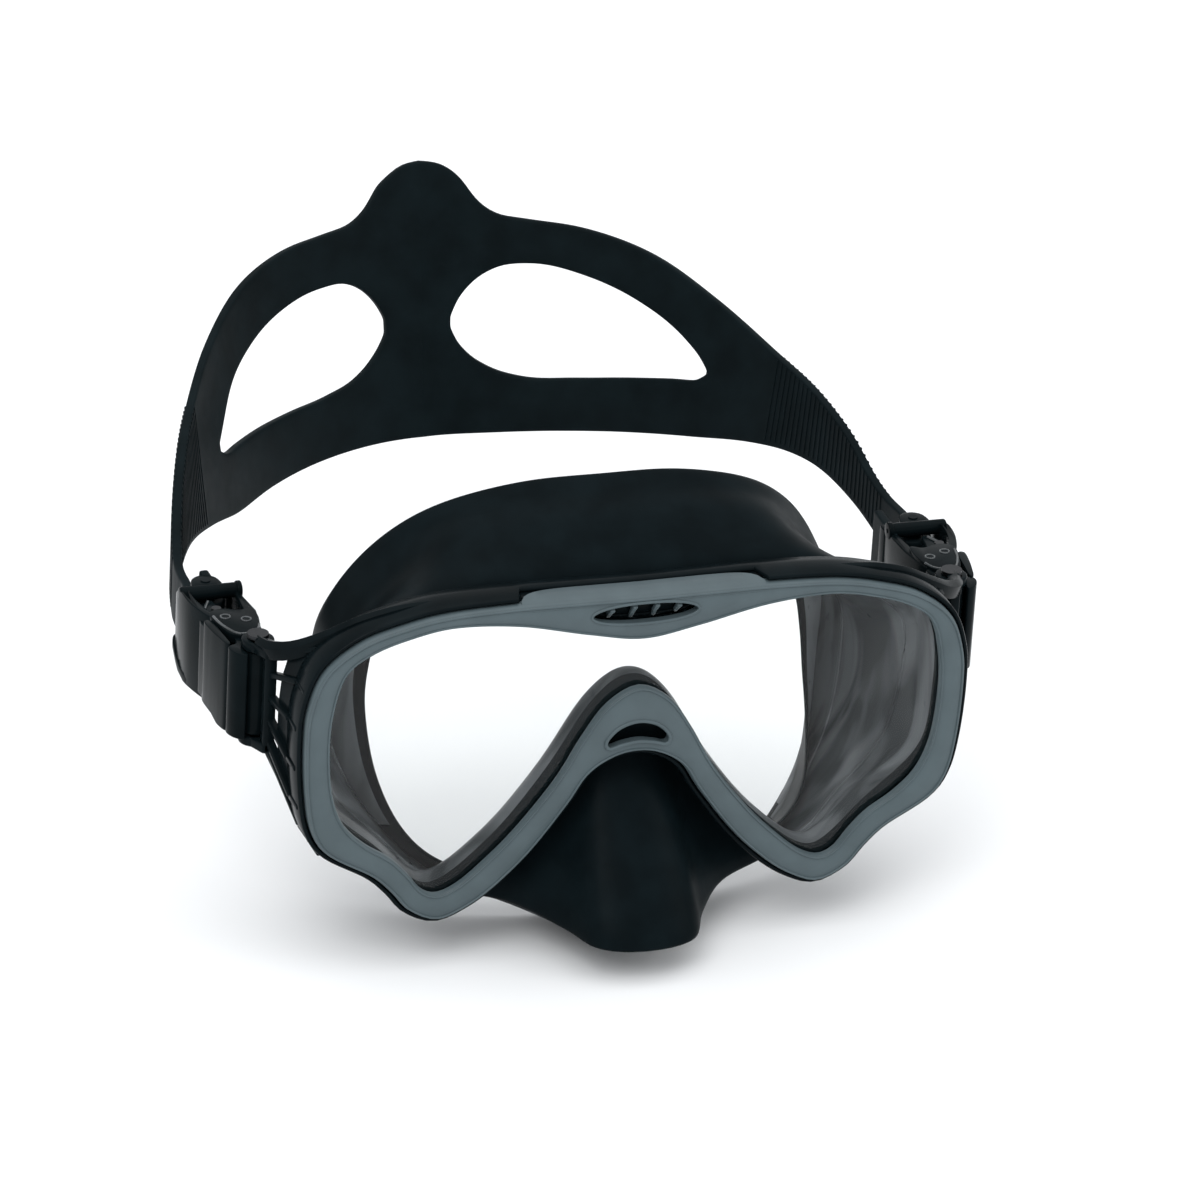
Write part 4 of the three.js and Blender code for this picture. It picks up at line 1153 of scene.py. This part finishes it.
def camera():
    """A long lens, a little above the mask and to its left."""
    data = bpy.data.cameras.new("camera")
    data.lens = CAMERA_LENS
    data.sensor_width = CAMERA_SENSOR
    data.clip_end = 30
    obj = placed("camera", data)
    turn = Matrix((CAMERA_RIGHT, CAMERA_UP, CAMERA_BACK)).transposed().to_4x4()
    obj.matrix_world = Matrix.Translation(CAMERA_AIM + CAMERA_BACK * CAMERA_DISTANCE) @ turn
    bpy.context.scene.camera = obj


def softbox(name, place, size, power):
    """A rectangular area light that faces the mask."""
    data = bpy.data.lights.new(name, "AREA")
    data.shape = "RECTANGLE"
    data.size, data.size_y = size
    data.energy = power
    obj = placed(name, data)
    obj.location = place
    obj.rotation_euler = (Vector(LIGHT_AIM) - Vector(place)).to_track_quat("-Z", "Y").to_euler()


def floor():
    """A white floor just under the mask."""
    bm = bmesh.new()
    bmesh.ops.create_grid(bm, x_segments=8, y_segments=8, size=FLOOR_HALF)
    mesh = bpy.data.meshes.new("floor")
    bm.to_mesh(mesh)
    bm.free()
    obj = placed("floor", mesh)
    obj.location.z = cad_box[0][2] - FLOOR_DROP
    paint(obj, moulded("floor_white", (0.86, 0.87, 0.88), 0.85, spread=0.004, blotch=6, grain=60))


def studio():
    """Camera, floor, pale sky, two softboxes and a wide, soft sun."""
    camera()
    floor()
    world = bpy.data.worlds.new("studio")
    world.use_nodes = True
    background = world.node_tree.nodes["Background"]
    background.inputs["Color"].default_value = (*SKY_COLOUR, 1)
    background.inputs["Strength"].default_value = SKY_STRENGTH
    bpy.context.scene.world = world
    bpy.context.scene.view_settings.view_transform = "Standard"
    for name, (place, size, power) in SOFTBOXES.items():
        softbox(name, place, size, power)
    sun = bpy.data.lights.new("sky", "SUN")
    sun.energy = SUN_POWER
    sun.angle = math.radians(SUN_SPREAD)
    placed("sky", sun)


# ---------- the mask ----------


def on_mask(obj, slot, *nodes):
    """A piece that belongs to the mask itself."""
    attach(obj, "mask")
    if nodes:
        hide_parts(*nodes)


def across_buckle(obj, side_name, *nodes):
    """A strap piece, with its placement baked into its mesh, that takes the place of the given nodes."""
    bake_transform(obj)
    if nodes:
        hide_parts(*nodes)


on_mask(front_bezel(), "grey_plastic", "front_bezel")
on_mask(bridge_grille(), "black_plastic", "bridge_grille")
on_mask(vent_ribs(), "grey_plastic")
on_mask(main_frame(), "black_plastic", "main_frame")
on_mask(skirt(), "skirt_silicone", "skirt")
on_mask(skirt_ridges(), "skirt_silicone")
for side_name in SIDES:
    across_buckle(strap_half(side_name), side_name, "strap", f"strap_end_{side_name}")
    across_buckle(strap_ribs(side_name), side_name)
    shell = buckle(side_name)
    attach(shell, f"buckle_{side_name}")
    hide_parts(f"buckle_body_{side_name}")
    highlight_lines = buckle_highlight_lines(side_name)
    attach(highlight_lines, f"buckle_{side_name}")
    cover = lever(side_name)
    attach(cover, f"lever_{side_name}")
    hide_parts(f"release_lever_{side_name}")
    for node in ("hinge_pin", "lever_pin", "lever_spring"):
        paint(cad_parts[f"{node}_{side_name}"], STEEL)
    paint(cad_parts[f"strap_roller_{side_name}"], BLACK)
paint(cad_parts["lens"], GLASS)

studio()
bpy.context.view_layer.update()
